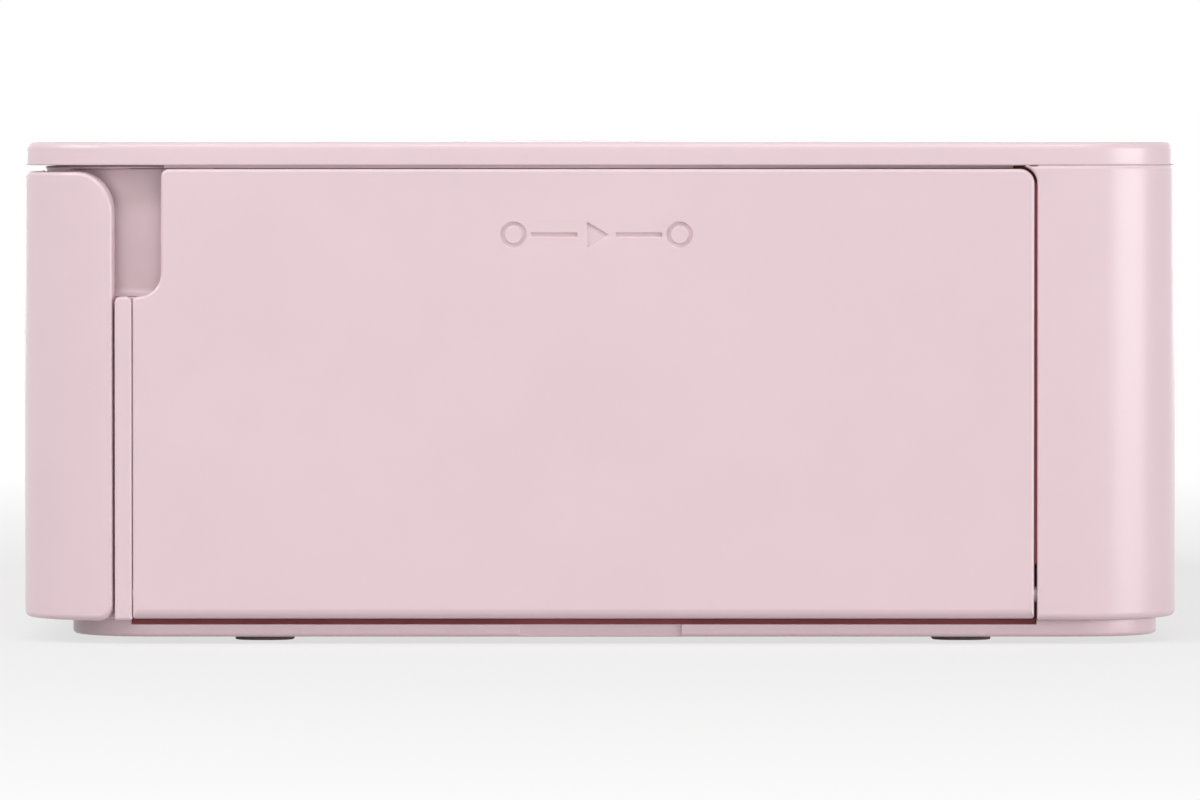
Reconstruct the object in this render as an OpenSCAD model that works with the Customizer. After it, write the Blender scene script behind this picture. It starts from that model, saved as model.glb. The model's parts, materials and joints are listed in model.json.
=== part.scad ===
// Compact photo printer: a dye-sublimation printer in a rounded pink case. A front cover drops down
// over the paper slot, and a door on the right side drops down over the ink cassette.
// Front faces -Y, the door is on +X, and Z = 0 is the table under the rubber feet.

/* [Case] */
// Overall width of the case
case_w = 182.2; // [178:0.2:200]
// Overall depth of the case, front cover to rear wall
case_d = 133; // [131:0.5:150]
// Overall height, feet to lid
case_h = 57.6; // [57.6:0.2:66]
// Radius of the case's upright corners
corner_r = 12.5; // [12:0.25:16]
// Thickness of the moulded walls
wall = 2.2; // [1.8:0.1:2.4]
// Thickness of the lid
lid_t = 2.75; // [2.6:0.05:3.2]
// Rounding of the lid's top edge
lid_round = 0.9; // [0.3:0.1:1.4]
// Height of the recessed plinth under the walls
plinth_h = 2; // [1.6:0.1:2.4]
// How far the plinth stands in from the walls
plinth_inset = 2.2; // [1.8:0.1:2.2]
// Height that the rubber feet stand out of the plinth
foot_h = 0.8; // [0.6:0.1:1.6]
// Rounding of the walls' bottom edge
edge_round = 1.2; // [0.4:0.1:1.6]

/* [Front cover] */
// Thickness of the front cover
cover_t = 2; // [1.8:0.1:2.1]
// Depth of the cover's side wings, from its front face
wing_d = 10.65; // [10:0.05:11]
// Radius of the wings' upper rear corners
wing_r = 4.5; // [2:0.25:6]
// Distance of the cover's hinge pins behind its front face
cover_pivot_in = 3.2; // [3.2:0.05:3.3]
// Diameter of the cover's hinge pins
cover_pin_d = 1.5; // [1.2:0.05:1.5]

/* [Ink door] */
// Thickness of the ink door
door_t = 2; // [1.8:0.1:2.2]
// Distance from the case's front face to the door's front edge
door_front = 13; // [12.8:0.1:13.5]
// Distance from the case's rear face to the door's rear edge
door_back = 16.8; // [16.4:0.1:20]
// Depth of the finger notch in the door's upper front corner
notch_d = 3.45; // [2:0.05:5]
// Height of the finger notch
notch_h = 14.6; // [12:0.1:15]
// Radius of the notch's inner corner
notch_r = 2.7; // [1:0.1:3]
// Diameter of the door's hinge pins
door_pin_d = 1.8; // [1.4:0.1:1.8]

/* [Paper path] */
// Width of the paper
paper_w = 100; // [98:1:102]
// Diameter of the platen roller
platen_d = 12; // [10:0.5:13]
// Diameter of the capstan roller that moves the paper
capstan_d = 6; // [5:0.5:6]
// Diameter of the pinch roller
pinch_d = 6.6; // [6:0.2:7]
// Diameter of the pick-up tyres
pickup_d = 9; // [8:0.5:9]
// Distance from the pick-up roller back to the platen
pickup_pitch = 48; // [47.5:0.25:48.5]
// Distance from the platen back to the capstan
capstan_pitch = 42; // [41:0.5:43]

/* [Ink cassette] */
// Distance between the two spools
spool_pitch = 50; // [50:0.5:51]
// Outer diameter of the cassette's spool housings
spool_case_d = 24; // [23:0.5:24]
// Wall of the cassette's spool housings
cassette_wall = 1.4; // [1.2:0.1:1.5]
// Diameter of the full supply roll
supply_roll_d = 19.6; // [14:0.2:19.6]
// Diameter of the take-up roll
takeup_roll_d = 16; // [12:0.2:19]
// Lift of the thermal head
head_lift = 4.8; // [4:0.1:4.8]

/* [Gears] */
// Module of the gears
gear_m = 0.6; // [0.58:0.01:0.6]
// Teeth on each motor pinion
pinion_teeth = 12; // [12:1:12]
// Teeth on the take-up spool's gear
takeup_teeth = 42; // [42:1:43]
// Teeth on the pick-up roller's gear
pickup_teeth = 34; // [34:1:35]
// Teeth on the capstan's gear
capstan_teeth = 30; // [26:1:31]
// Teeth on the head cam's gear
cam_teeth = 28; // [24:1:29]

/* [Screen and keys] */
// Width of the screen window
screen_w = 84; // [76:1:86]
// Depth of the screen window
screen_d = 62; // [56:1:66]
// Diameter of the four-way ring
ring_d = 30; // [26:1:32]
// Diameter of the OK key in the ring
ok_d = 12.6; // [10:0.2:13]
// Diameter of the small round keys
key_d = 8; // [6:0.5:9]
// Travel of each key
key_travel = 0.5; // [0.3:0.05:0.5]

/* [Hidden] */
$fn = 48;
pink = [0.89, 0.78, 0.80];
dark = [0.20, 0.20, 0.21];
grey = [0.55, 0.56, 0.58];
steel = [0.72, 0.73, 0.75];
white = [0.90, 0.90, 0.88];
black = [0.05, 0.05, 0.06];
green = [0.10, 0.35, 0.22];
brass = [0.80, 0.66, 0.35];
rubber = [0.13, 0.13, 0.13];
amber = [0.30, 0.16, 0.10];

// Case planes
half_w = case_w / 2;
front = -case_d / 2;
back = case_d / 2;
lid_z = case_h - lid_t;
floor_z = foot_h + plinth_h;
seam = 0.2;
seam_w = 0.8;
big = 2 * case_w;
fit = 0.3;
turn_gap = 0.05;

// Front cover
cover_gap = 0.4;
cover_z0 = floor_z + 0.2;
cover_z1 = lid_z - 0.75;
cover_edge = 0.3;
wing_y = front + wing_d;
wing_foot_r = 1;
panel_inset = cover_t + cover_gap;
cover_pivot = [front + cover_pivot_in, cover_z0 + cover_pivot_in / 2];
cover_sweep_r = cover_pivot_in * 1.125;
knuckle_x = half_w - 17.1;
knuckle_w = 3;
ear_w = 3.2;
knuckle_r = cover_pin_d / 2 + 0.75;
ear_r = cover_pin_d / 2 + 0.65;
ear_dx = knuckle_w / 2 + fit + ear_w / 2;
sill_half_w = ear_dx + ear_w / 2 + 0.5;
sill_h = 6.2;
hinge_relief = 0.6;
sill_y = cover_pivot[0] + cover_sweep_r + fit;
sill_t = 1.5;
step_y = wing_y + 0.35;

// Ink door
door_gap = 0.35;
door_y0 = front + door_front;
door_y1 = back - door_back;
door_z0 = floor_z + door_gap;
door_z1 = lid_z - 0.4;
door_in = half_w - door_t;
door_corner_r = 1.6;
door_lip_r = 1.1;
door_pivot = [half_w - 1.7, door_z0 + 2.55];
door_pin_l = 1.4;
door_boss_r = 1.9;
door_boss_l = 4;
mark_y = [-11.4, 10.6];
mark_z = 46.9;
mark_h = 3;
mark_line = 0.5;
mark_t = 0.3;
rib_t = 1;
rib_h = 1.2;
pillar_y1 = door_y0 - 0.25;
notch_z = door_z1 - notch_h;

// Finger pocket beside the door
pocket_back = half_w - 6.5;
pocket_r = 4;
pocket_y0 = front + 5.5;
pocket_y1 = door_y0 + notch_d + 3.5;
pocket_wall = 2;

// Plinth, feet and screws
plinth_front = 5.6;
plinth_r = corner_r - 3;
plinth_round = 0.5;
plinth_step_w = 18.6;
plinth_step_d = 0.4;
door_recess_h = 0.55;
door_recess_d = 2.2;
pillar_r = 0.7;
door_stop_w = 1;
door_stop_gap = 0.3;
foot_x = half_w - 17;
foot_ys = [front + 27.7, back - 24.7];
foot_w = 14;
foot_d = 6.8;
foot_seat = 0.6;
screw_r = 1.1;
screw_head_r = 2.2;
screw_head_h = 1.1;
root = 0.5;
post_r = 3;
post_h = 9;
front_post = [half_w - 8.1, front + 10.5];
rear_post = [half_w - 5.5, back - 10.5];

// Paper path, measured down from the lid
plate_t = 1.2;
plate_x = paper_w / 2 + 15;
screen_stack = 3.4;
chassis_top = lid_z - screen_stack - 0.45;
spool_z = chassis_top - spool_case_d / 2 - 2.5;
nip_z = spool_z - spool_case_d / 2 - 1;
head_y = 6;
platen_c = [head_y, nip_z - platen_d / 2];
capstan_c = [head_y + capstan_pitch, nip_z - capstan_d / 2];
paper_gap = 0.4;
pinch_c = [capstan_c[0], nip_z + paper_gap + pinch_d / 2];
guide_t = 0.8;
guide_rib = 0.5;
guide_rib_w = 1;
guide_rib_pitch = 12;
exit_guide_z = nip_z - 0.9;
pickup_c = [head_y - pickup_pitch, exit_guide_z - 0.4 - pickup_d / 2];
tyre_x = 18;
tyre_w = 10;
tray_top = pickup_c[1] - pickup_d / 2 - 0.4;
tray_half_w = paper_w / 2 + 11.5;
tray_back = head_y - 19;
rail_w = plate_x - tray_half_w - 0.2;
slot_top = nip_z + 7.5;
ramp_y1 = head_y - 3;
shelf_t = 1.3;
shelf_z = nip_z - 0.9 - shelf_t;

// Chassis
gear_gap = 6.8;
gear_plate_in = plate_x + plate_t + gear_gap;
motor_end = half_w - wall - 1;
motor_tail = 1.2;
motor_bore = 1.1;
shaft_end = plate_x + plate_t + 0.7;
chassis_y0 = pickup_c[0] - 9;
chassis_y1 = capstan_c[0] + 8;
chassis_step = [pickup_c[0] + 8, nip_z + 8.5];
bar_t = 1.2;
bar_w = 15;
bush_r = 4.2;
bush_rim = 0.6;
bush_l = 1;
platen_shaft_r = 2.5;
pinch_shaft_r = 1.5;
pickup_shaft_r = 2;
spool_shaft_r = 2.5;
standoff_r = 2;

// Ink cassette
front_spool = [head_y - spool_pitch / 2, spool_z];
rear_spool = [head_y + spool_pitch / 2, spool_z];
spool_case_r = spool_case_d / 2;
bay_out = half_w - 4.5;
bay_t = 1.6;
cassette_x0 = -plate_x + 2.4;
cassette_x1 = bay_out - 0.4;
cap_l = 5.7;
bridge_h = 3;
cassette_fit = 0.4;
core_r = 4.5;
neck_r = 3;
dog_r = 2;
dog_l = 4;
web_t = 0.1;

// Ink bay, its lever and the door's latch
bay_post_r = 3;
lever_c = [front_spool[0] - spool_case_r - 6.5, spool_z - 22.5];
lever_l = 18;
lever_t = 1.1;
lever_gap = 0.1;
lever_w = 4;
lever_pin_r = 1.5;
hook_l = 9.5;
latch_y = head_y - 8;
latch_z = lid_z - 3;
rib_y0 = front_spool[0] - spool_case_r + 3;

// Thermal head and its cam
cam_c = [head_y, chassis_top - 7.5];
cam_low_r = 2.6;
cam_gap = 0.08;
cam_w = 6;
cam_x = paper_w / 2 - 2;
cam_shaft_r = 2;
head_top = cam_c[1] - cam_low_r - cam_gap;
web_z = nip_z + 0.3;
nib_h = 0.5;
head_bottom = web_z + web_t + 0.03 + nib_h + head_lift;
head_w = 14;
fin_t = 1.6;
head_half = paper_w / 2 + 4;
head_pin_r = 1.5;
head_pin_dz = 4;
head_pin_z = head_bottom + 5.5;

// Gear train, each centre in Y and Z
gear_x0 = -(plate_x + plate_t + 5.8);
gear_w = 3;
pinion_w = 4;
web_cut = 0.8;
gear_play = 0.1;
tooth_top = 0.78;
function pitch_r(teeth) = gear_m * teeth / 2;
function mesh(a, b) = pitch_r(a) + pitch_r(b);
function heading(a, b) = atan2(b[1] - a[1], b[0] - a[0]);
// Point at distances p from a and q from b, on the left of the line from a to b
function apex(a, b, p, q) =
    let (d = norm(b - a), u = (b - a) / d, s = (d * d + p * p - q * q) / (2 * d), h = sqrt(p * p - s * s))
    a + s * u + h * [-u[1], u[0]];
feed_pinion_c = capstan_c + mesh(capstan_teeth, pinion_teeth) * [cos(135), sin(135)];
lift_pinion_c = cam_c + [mesh(cam_teeth, pinion_teeth), 0];
ribbon_pinion_c = apex(pickup_c, front_spool, mesh(pickup_teeth, pinion_teeth),
    mesh(takeup_teeth, pinion_teeth));

// Screen and keys
keys_x = half_w - 36;
key_left = keys_x - 21;
screen_c = [key_left - 12.2 - screen_w / 2, -4];
screen_r = 3;
glass_t = 1;
glass_lip = 2.5;
ring_c = [keys_x, -4];
print_c = [keys_x, -34];
print_w = 22;
print_d = 9;
key_y = 26;
key_dx = 15;
power_c = [keys_x + key_dx, 44];
key_gap = 0.3;
key_drop = 0.2;
flange_w = 0.8;
key_seat = 0.1;
flange_z = lid_z - key_seat;
board_t = 0.8;
board_z = lid_z - screen_stack - 0.05;
switch_h = 0.7;
key_z0 = board_z + board_t + switch_h + key_travel + 0.1;
switch_top = board_z + board_t + switch_h;
nav_switch_r = ring_d / 2 - 3;
nav_gap = 0.45;
ring_z = lid_z + 0.3;
ring_rim_z = lid_z - 1.1;
rocker_z = lid_z - 1.15;
ridge_l = 2.2;
key_post_r = 2;
tilt_gap = 0.02;
key_board_x = [key_left, keys_x + 27];
key_board_y = [print_c[1] - 12, power_c[1] + 10];

// Card reader
card_board_z = slot_top + 5.6;
card_x = pocket_back - pocket_wall - 20.6;
usb_x = card_x - 28;
ledge_w = 6;
ledge_d = 5;
ledge_t = 2;
card_w = 24.6;
card_t = 2.8;
usb_w = 9;
usb_h = 3.2;
usb_t = 0.35;
card_board_y1 = chassis_step[0] - 2;

// Boards on the floor
board_post_r = 2.4;
board_thick = 1.2;
main_half_w = plate_x - 9;
main_y = head_y + 12;
main_d = 24;
board_z0 = floor_z + 4;
board_posts = [for (x = [-main_half_w + 4, main_half_w - 4], y = [main_y + 3, main_y + main_d - 3]) [x, y]];
part_top = board_z0 + board_thick;

// Power inlet
jack_x = plate_x - 9;
jack_z = floor_z + 9.2;
jack_r = 3.2;
jack_w = 10;
jack_l = 12;
jack_pin_r = 1;
power_z = floor_z + 2.2;
power_l = 20;
power_y1 = back - wall - 1;
power_posts = [power_y1 - power_l + 3, power_y1 - 4];

// Rear wall
slot_z = [nip_z - 2.7, nip_z + 3.7];
slot_half_w = paper_w / 2 + 4;
groove_zs = [22.3, 41.4];
groove_h = 1.4;
groove_d = 0.5;
vent_w = 1.6;
vent_pitch = 4;
vent_n = 14;
vent_x = -plate_x + 5;
vent_z = slot_z[1] + 2;
vent_h = 8.5;

// Outlines in the plane of the paper, with true arcs
module rrect(x0, x1, y0, y1, r) {
    translate([x0 + r, y0]) square([x1 - x0 - 2 * r, y1 - y0]);
    translate([x0, y0 + r]) square([x1 - x0, y1 - y0 - 2 * r]);
    for (x = [x0 + r, x1 - r], y = [y0 + r, y1 - r])
        translate([x, y]) circle(r);
}

module outline(inset) {
    rrect(-half_w + inset, half_w - inset, front + inset, back - inset, corner_r - inset);
}

module box(x0, x1, y0, y1, z0, z1) {
    translate([x0, y0, z0]) cube([x1 - x0, y1 - y0, z1 - z0]);
}

// Extrudes a Y-Z outline along X, from x0 to x1
module along_x(x0, x1) {
    translate([x0, 0, 0]) rotate([90, 0, 90]) linear_extrude(x1 - x0) children();
}

// Extrudes an X-Z outline along Y, from y0 to y1
module along_y(y0, y1) {
    translate([0, y1, 0]) rotate([90, 0, 0]) linear_extrude(y1 - y0) children();
}

module layer(z0, z1) {
    translate([0, 0, z0]) linear_extrude(z1 - z0) children();
}

module rod_x(x0, x1, c, r) {
    translate([x0, c[0], c[1]]) rotate([0, 90, 0]) cylinder(r = r, h = x1 - x0);
}

module rod_y(y0, y1, c, r) {
    translate([c[0], y0, c[1]]) rotate([-90, 0, 0]) cylinder(r = r, h = y1 - y0);
}

module rod_z(z0, z1, c, r) {
    translate([c[0], c[1], z0]) cylinder(r = r, h = z1 - z0);
}

// Slab on a rounded rectangle whose bottom and top edges are rounded too
module slab(x0, x1, y0, y1, z0, z1, r, low, high) {
    steps = 4;
    profile = concat([[0, z0]],
        [for (i = [0:steps]) [r - low + low * sin(90 * i / steps), z0 + low - low * cos(90 * i / steps)]],
        [for (i = [0:steps]) [r - high + high * cos(90 * i / steps), z1 - high + high * sin(90 * i / steps)]],
        [[0, z1]]);
    hull() for (x = [x0 + r, x1 - r], y = [y0 + r, y1 - r])
        translate([x, y, 0]) rotate_extrude($fn = 64) polygon(profile);
}

// Involute spur gear outline, tooth by tooth
function involute(rb, t) = [rb * sqrt(1 + t * t), t * 180 / PI - atan(t)];
function polar(r, a) = [r * cos(a), r * sin(a)];
module gear_outline(teeth) {
    r = pitch_r(teeth);
    rb = r * cos(20);
    top = r + tooth_top * gear_m;
    root = r - 1.2 * gear_m;
    t1 = sqrt(pow(top / rb, 2) - 1);
    half = 90 / teeth - gear_play / 2 / r * 180 / PI + involute(rb, tan(20))[1];
    flank = [for (i = [0:4]) involute(rb, t1 * i / 4)];
    polygon([for (k = [0:teeth - 1]) let (c = 360 * k / teeth)
        each concat([polar(root, c - half)],
            [for (p = flank) polar(p[0], c - half + p[1])],
            [for (i = [4:-1:0]) polar(flank[i][0], c + half - flank[i][1])],
            [polar(root, c + half)])]);
}

module gear(x0, width, c, teeth, phase) {
    translate([0, c[0], c[1]]) along_x(x0, x0 + width) rotate(phase) gear_outline(teeth);
}

// Gear with a hub and a thinner web on both sides, bored for its shaft
module wheel(c, teeth, phase, bore) {
    hub_r = max(bore + 1.4, 3.4);
    difference() {
        gear(gear_x0, gear_w, c, teeth, phase);
        for (x = [gear_x0 - 1, gear_x0 + gear_w - web_cut])
            difference() {
                rod_x(x, x + 1 + web_cut, c, pitch_r(teeth) - 2.1);
                rod_x(x - 1, x + 3 + web_cut, c, hub_r);
            }
        rod_x(-big / 2, 0, c, bore);
    }
}

// Each pinion has a tooth on the line to its first gear, and each gear has a gap there
function gap_phase(gear_c, pinion_c, teeth) = heading(gear_c, pinion_c) + 180 / teeth;
takeup_phase = gap_phase(front_spool, ribbon_pinion_c, takeup_teeth);
ribbon_phase = heading(ribbon_pinion_c, front_spool);
pickup_heading = heading(ribbon_pinion_c, pickup_c);
ribbon_step = 360 / pinion_teeth;
ribbon_lead = ribbon_phase - pickup_heading;
ribbon_offset = ribbon_lead - ribbon_step * round(ribbon_lead / ribbon_step);
pickup_phase = gap_phase(pickup_c, ribbon_pinion_c, pickup_teeth) - ribbon_offset * pinion_teeth / pickup_teeth;

// Case
module bottom_case() color(pink) difference() {
    union() {
        slab(-half_w + plinth_inset, half_w - plinth_inset, front + plinth_front, back - plinth_inset,
            foot_h, floor_z, plinth_r, plinth_round, 0);
        for (s = [-1, 1]) {
            // Sill behind the cover's hinge
            sill_x0 = s > 0 ? tray_half_w + 0.6 : -knuckle_x - sill_half_w;
            sill_x1 = s > 0 ? knuckle_x + sill_half_w : -tray_half_w - 0.6;
            box(sill_x0, sill_x1, sill_y, sill_y + sill_t, floor_z - root, floor_z + sill_h);
            // Hinge ears
            for (e = [-1, 1]) {
                ear_x = s * knuckle_x + e * ear_dx;
                along_x(ear_x - ear_w / 2, ear_x + ear_w / 2) {
                    translate(cover_pivot) circle(ear_r);
                    translate([cover_pivot[0], cover_pivot[1] - ear_r * 0.6])
                        square([sill_y - cover_pivot[0] + root, ear_r * 1.5]);
                }
            }
            // Rails beside the paper tray
            rail_x = s > 0 ? plate_x - rail_w : -plate_x;
            box(rail_x, rail_x + rail_w, sill_y, tray_back - 1, floor_z - root, tray_top);
        }
        for (p = board_posts)
            rod_z(floor_z - root, board_z0, p, board_post_r);
        for (y = power_posts)
            rod_z(floor_z - root, power_z, [jack_x, y], board_post_r);
    }
    for (x = [-foot_x, foot_x], y = foot_ys)
        translate([x, y, 0]) layer(0, foot_h + foot_seat) foot_outline(0.1);
    for (p = [front_post, rear_post], s = [-1, 1]) {
        rod_z(0, foot_h + screw_head_h + 0.2, [s * p[0], p[1]], screw_head_r + 0.3);
        rod_z(0, floor_z + 1, [s * p[0], p[1]], screw_r + 0.2);
    }
    for (s = [-1, 1])
        rod_x(s * knuckle_x - sill_half_w - 2, s * knuckle_x + sill_half_w + 2, cover_pivot, cover_pin_d / 2);
    // Recess that leaves room for the door's lower edge
    box(half_w - plinth_inset - door_recess_d, half_w, pillar_y1, door_y1 + door_gap,
        floor_z - door_recess_h, floor_z + 1);
    // Shallow step in the plinth under the door
    box(half_w - plinth_inset - plinth_step_d, half_w, -plinth_step_w / 2, plinth_step_w / 2, 0, floor_z + 1);
}

module foot_outline(grow) {
    rrect(-foot_w / 2 - grow, foot_w / 2 + grow, -foot_d / 2 - grow, foot_d / 2 + grow, foot_d / 2 - 0.8);
}

module rubber_feet() color(rubber) for (x = [-foot_x, foot_x], y = foot_ys)
    translate([x, y, 0]) layer(0, foot_h + foot_seat) foot_outline(0);

module case_screws() color(steel) for (p = [front_post, rear_post], s = [-1, 1]) difference() {
    union() {
        rod_z(foot_h + 0.2, foot_h + 0.2 + screw_head_h, [s * p[0], p[1]], screw_head_r);
        rod_z(foot_h + 0.2, floor_z + post_h - 2, [s * p[0], p[1]], screw_r);
    }
    for (a = [0, 90])
        translate([s * p[0], p[1], foot_h]) rotate(a) cube([2.4, 0.5, 1.4], center = true);
}

module screw_post(p) {
    rod_z(floor_z, floor_z + post_h, p, post_r);
}

module rear_shell() color(pink) difference() {
    union() {
        difference() {
            slab(-half_w, half_w, front, back, floor_z, lid_z, corner_r, edge_round, 0);
            layer(0, case_h) outline(wall);
        }
        // Flange that sits on the plinth
        layer(floor_z, floor_z + 1.6) difference() {
            outline(wall);
            outline(wall + 2.6);
        }
        intersection() {
            union() {
                for (s = [-1, 1])
                    screw_post([s * rear_post[0], rear_post[1]]);
                // Boss that holds the door's rear hinge pin
                box(door_pivot[0] - 2.6, half_w, door_y1 + door_gap, door_y1 + 4, floor_z, door_pivot[1] + 3);
            }
            layer(0, case_h) outline(0.4);
        }
    }
    layer(lid_z - seam, case_h) difference() {
        outline(-1);
        outline(seam_w);
    }
    box(-big, 0, -big, step_y, 0, case_h);
    box(0, big, -big, door_y1 + door_gap, 0, case_h);
    rod_y(door_y1, door_y1 + door_gap + door_pin_l + 0.2, door_pivot, door_pin_d / 2 + turn_gap);
    for (s = [-1, 1])
        rod_z(0, floor_z + post_h - 1.8, [s * rear_post[0], rear_post[1]], screw_r);
    // Slot where the paper runs out behind the printer between passes
    along_y(back - wall - 1, back + 1) rrect(-slot_half_w, slot_half_w, slot_z[0], slot_z[1], 1.5);
    // Grooves across the rear wall
    for (z = groove_zs)
        translate([-half_w + corner_r - 1, 0, 0]) along_x(0, case_w - 2 * corner_r + 2)
            polygon([[back + 0.1, z - groove_h / 2], [back - groove_d, z], [back + 0.1, z + groove_h / 2]]);
    // Upright air vents
    for (i = [0:vent_n - 1])
        box(vent_x + i * vent_pitch, vent_x + i * vent_pitch + vent_w, back - wall - 1, back + 1,
            vent_z, vent_z + vent_h);
    rod_y(back - wall - 1, back + 1, [jack_x, jack_z], jack_r + 0.3);
}

module front_panel() color(pink) difference() {
    union() {
        layer(floor_z, lid_z) intersection() {
            difference() {
                outline(panel_inset);
                outline(panel_inset + wall);
            }
            translate([-big / 2, front]) square([big, step_y - front]);
        }
        // Tongue behind the shell's left wall
        layer(floor_z + 1.8, lid_z) intersection() {
            outline(panel_inset);
            translate([-half_w, step_y - 2]) square([panel_inset + wall, 8.5]);
        }
        // Pillar between the cover and the door
        layer(floor_z, notch_z) intersection() {
            outline(0);
            translate([half_w - wall - panel_inset, step_y]) square([big, pillar_y1 - step_y]);
        }
        // Stop behind the door's front edge
        box(half_w - wall - panel_inset, door_in - door_stop_gap, pillar_y1 - root, pillar_y1 + door_stop_w,
            door_pivot[1] + 4, notch_z - 2);
        for (s = [-1, 1]) {
            screw_post([s * front_post[0], front_post[1]]);
            web_x = s > 0 ? front_post[0] : -front_post[0] - 4;
            box(web_x, web_x + 4, front_post[1] - 1, front_post[1] + 0.4, floor_z + 1, floor_z + post_h);
        }
        // Block round the finger pocket
        layer(notch_z - 3.5, lid_z) intersection() {
            outline(panel_inset);
            translate([pocket_back - pocket_wall, front]) square([big, pocket_y1 + pocket_wall - front]);
        }
        // Ledges under the card board
        for (x = [usb_x - ledge_w, card_x + ledge_w])
            box(x, x + ledge_w, front + panel_inset + 1, front + panel_inset + wall + ledge_d,
                card_board_z - ledge_t, card_board_z);
    }
    finger_scoop();
    // Rounded top corners of the pillar
    along_x(half_w - panel_inset, big) {
        difference() {
            translate([step_y - 1, notch_z - pillar_r]) square([pillar_r + 1, 2]);
            translate([step_y + pillar_r, notch_z - pillar_r]) circle(pillar_r);
        }
        difference() {
            translate([pillar_y1 - pillar_r, notch_z - pillar_r]) square([pillar_r + 1, 2]);
            translate([pillar_y1 - pillar_r, notch_z - pillar_r]) circle(pillar_r);
        }
    }
    for (s = [-1, 1])
        rod_z(0, floor_z + post_h - 1.8, [s * front_post[0], front_post[1]], screw_r);
    rod_x(-big / 2, big / 2, cover_pivot, cover_sweep_r);
    along_x(-big / 2, big / 2)
        translate([front, floor_z - 1])
            square([cover_pivot[0] + cover_sweep_r - front, cover_pivot[1] - floor_z + 1]);
    rod_y(pillar_y1 - door_pin_l, pillar_y1 + 1, door_pivot, door_pin_d / 2 + turn_gap);
    // Mouth for the paper tray and the prints
    along_y(front, front + panel_inset + wall + 2)
        rrect(-tray_half_w, tray_half_w, floor_z - 10, slot_top, 3);
    // Card and USB slots
    along_y(front, front + panel_inset + wall + 0.5) {
        translate([card_x - card_w / 2, card_board_z + 1.7]) square([card_w, card_t]);
        translate([usb_x, card_board_z + 1 + usb_h / 2])
            rrect(-usb_w / 2 - 0.3, usb_w / 2 + 0.3, -usb_h / 2 - 0.2, usb_h / 2 + 0.2, 1.6);
    }
}

module finger_scoop() {
    hull() for (x = [pocket_back + pocket_r, half_w + 9], z = [notch_z + pocket_r, case_h + pocket_r],
            y = [pocket_y0 + pocket_r, pocket_y1 - pocket_r])
        translate([x, y, z]) sphere(pocket_r, $fn = 28);
}

module key_hole(c, w, d) {
    translate([c[0], c[1]]) rrect(-w / 2, w / 2, -d / 2, d / 2, min(w, d) / 2 - 0.01);
}

small_keys = [[keys_x - key_dx, key_y], [keys_x, key_y], [keys_x + key_dx, key_y], power_c];

module top_cover() color(pink) difference() {
    union() {
        slab(-half_w + 0.1, half_w - 0.1, front + 0.1, back - 0.1, lid_z, case_h, corner_r, 0.2, lid_round);
        for (x = key_board_x, y = key_board_y)
            rod_z(board_z + board_t, lid_z + 1, [x + (x < keys_x ? 3 : -3), y + (y < 0 ? 3 : -3)], key_post_r);
    }
    translate([screen_c[0], screen_c[1], 0]) {
        layer(case_h - glass_t - 0.2, case_h + 1)
            rrect(-screen_w / 2, screen_w / 2, -screen_d / 2, screen_d / 2, screen_r);
        layer(0, case_h)
            rrect(-screen_w / 2 + glass_lip, screen_w / 2 - glass_lip,
                -screen_d / 2 + glass_lip, screen_d / 2 - glass_lip, 1);
    }
    rod_z(0, case_h + 1, ring_c, ring_d / 2 + key_gap);
    for (p = small_keys)
        rod_z(0, case_h + 1, p, key_d / 2 + key_gap);
    layer(0, case_h + 1) key_hole(print_c, print_w + 2 * key_gap, print_d + 2 * key_gap);
}

module ink_bay_frame() color(dark) difference() {
    union() {
        box(bay_out - bay_t, bay_out, pocket_y1 + pocket_wall + 0.2, door_y1 + 3, floor_z, lid_z - 0.25);
        // Posts that carry the frame on the chassis
        for (p = [[front_spool[0] + 2, floor_z + 6], [rear_spool[0] - 2, floor_z + 6],
                [capstan_c[0] + 2, spool_z + 9]])
            rod_x(plate_x + plate_t, bay_out - root, p, bay_post_r);
        rod_x(bay_out - root, bay_out + lever_gap + lever_t, lever_c, lever_pin_r);
    }
    along_x(bay_out - bay_t - 1, bay_out + 1) cassette_profile(cassette_fit);
    // Catch for the door's latch
    box(bay_out - bay_t - 1, bay_out + 1, latch_y - 6, latch_y + 6, latch_z - 1.2, latch_z + 1.8);
    // The rear wall's hinge boss and screw post stand here
    box(bay_out - bay_t - 1, bay_out + 1, door_y1, back, 0, floor_z + post_h + 0.5);
}

module eject_lever() color(grey) difference() {
    along_x(bay_out + lever_gap, bay_out + lever_gap + lever_t) {
        translate(lever_c) circle(lever_pin_r + 1.5);
        translate([lever_c[0] - lever_w / 2, lever_c[1]]) square([lever_w, lever_l]);
        // Hook over the cassette's edge, and thumb tab
        translate([lever_c[0] + 1, lever_c[1] + lever_l - lever_w]) square([hook_l - 1, lever_w]);
        translate([lever_c[0] - 1, lever_c[1] + lever_l - 1]) rrect(0, lever_w + 1.5, 0, lever_w + 1, 1);
    }
    rod_x(bay_out - 1, bay_out + 2 * lever_t, lever_c, lever_pin_r + turn_gap);
}

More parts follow.
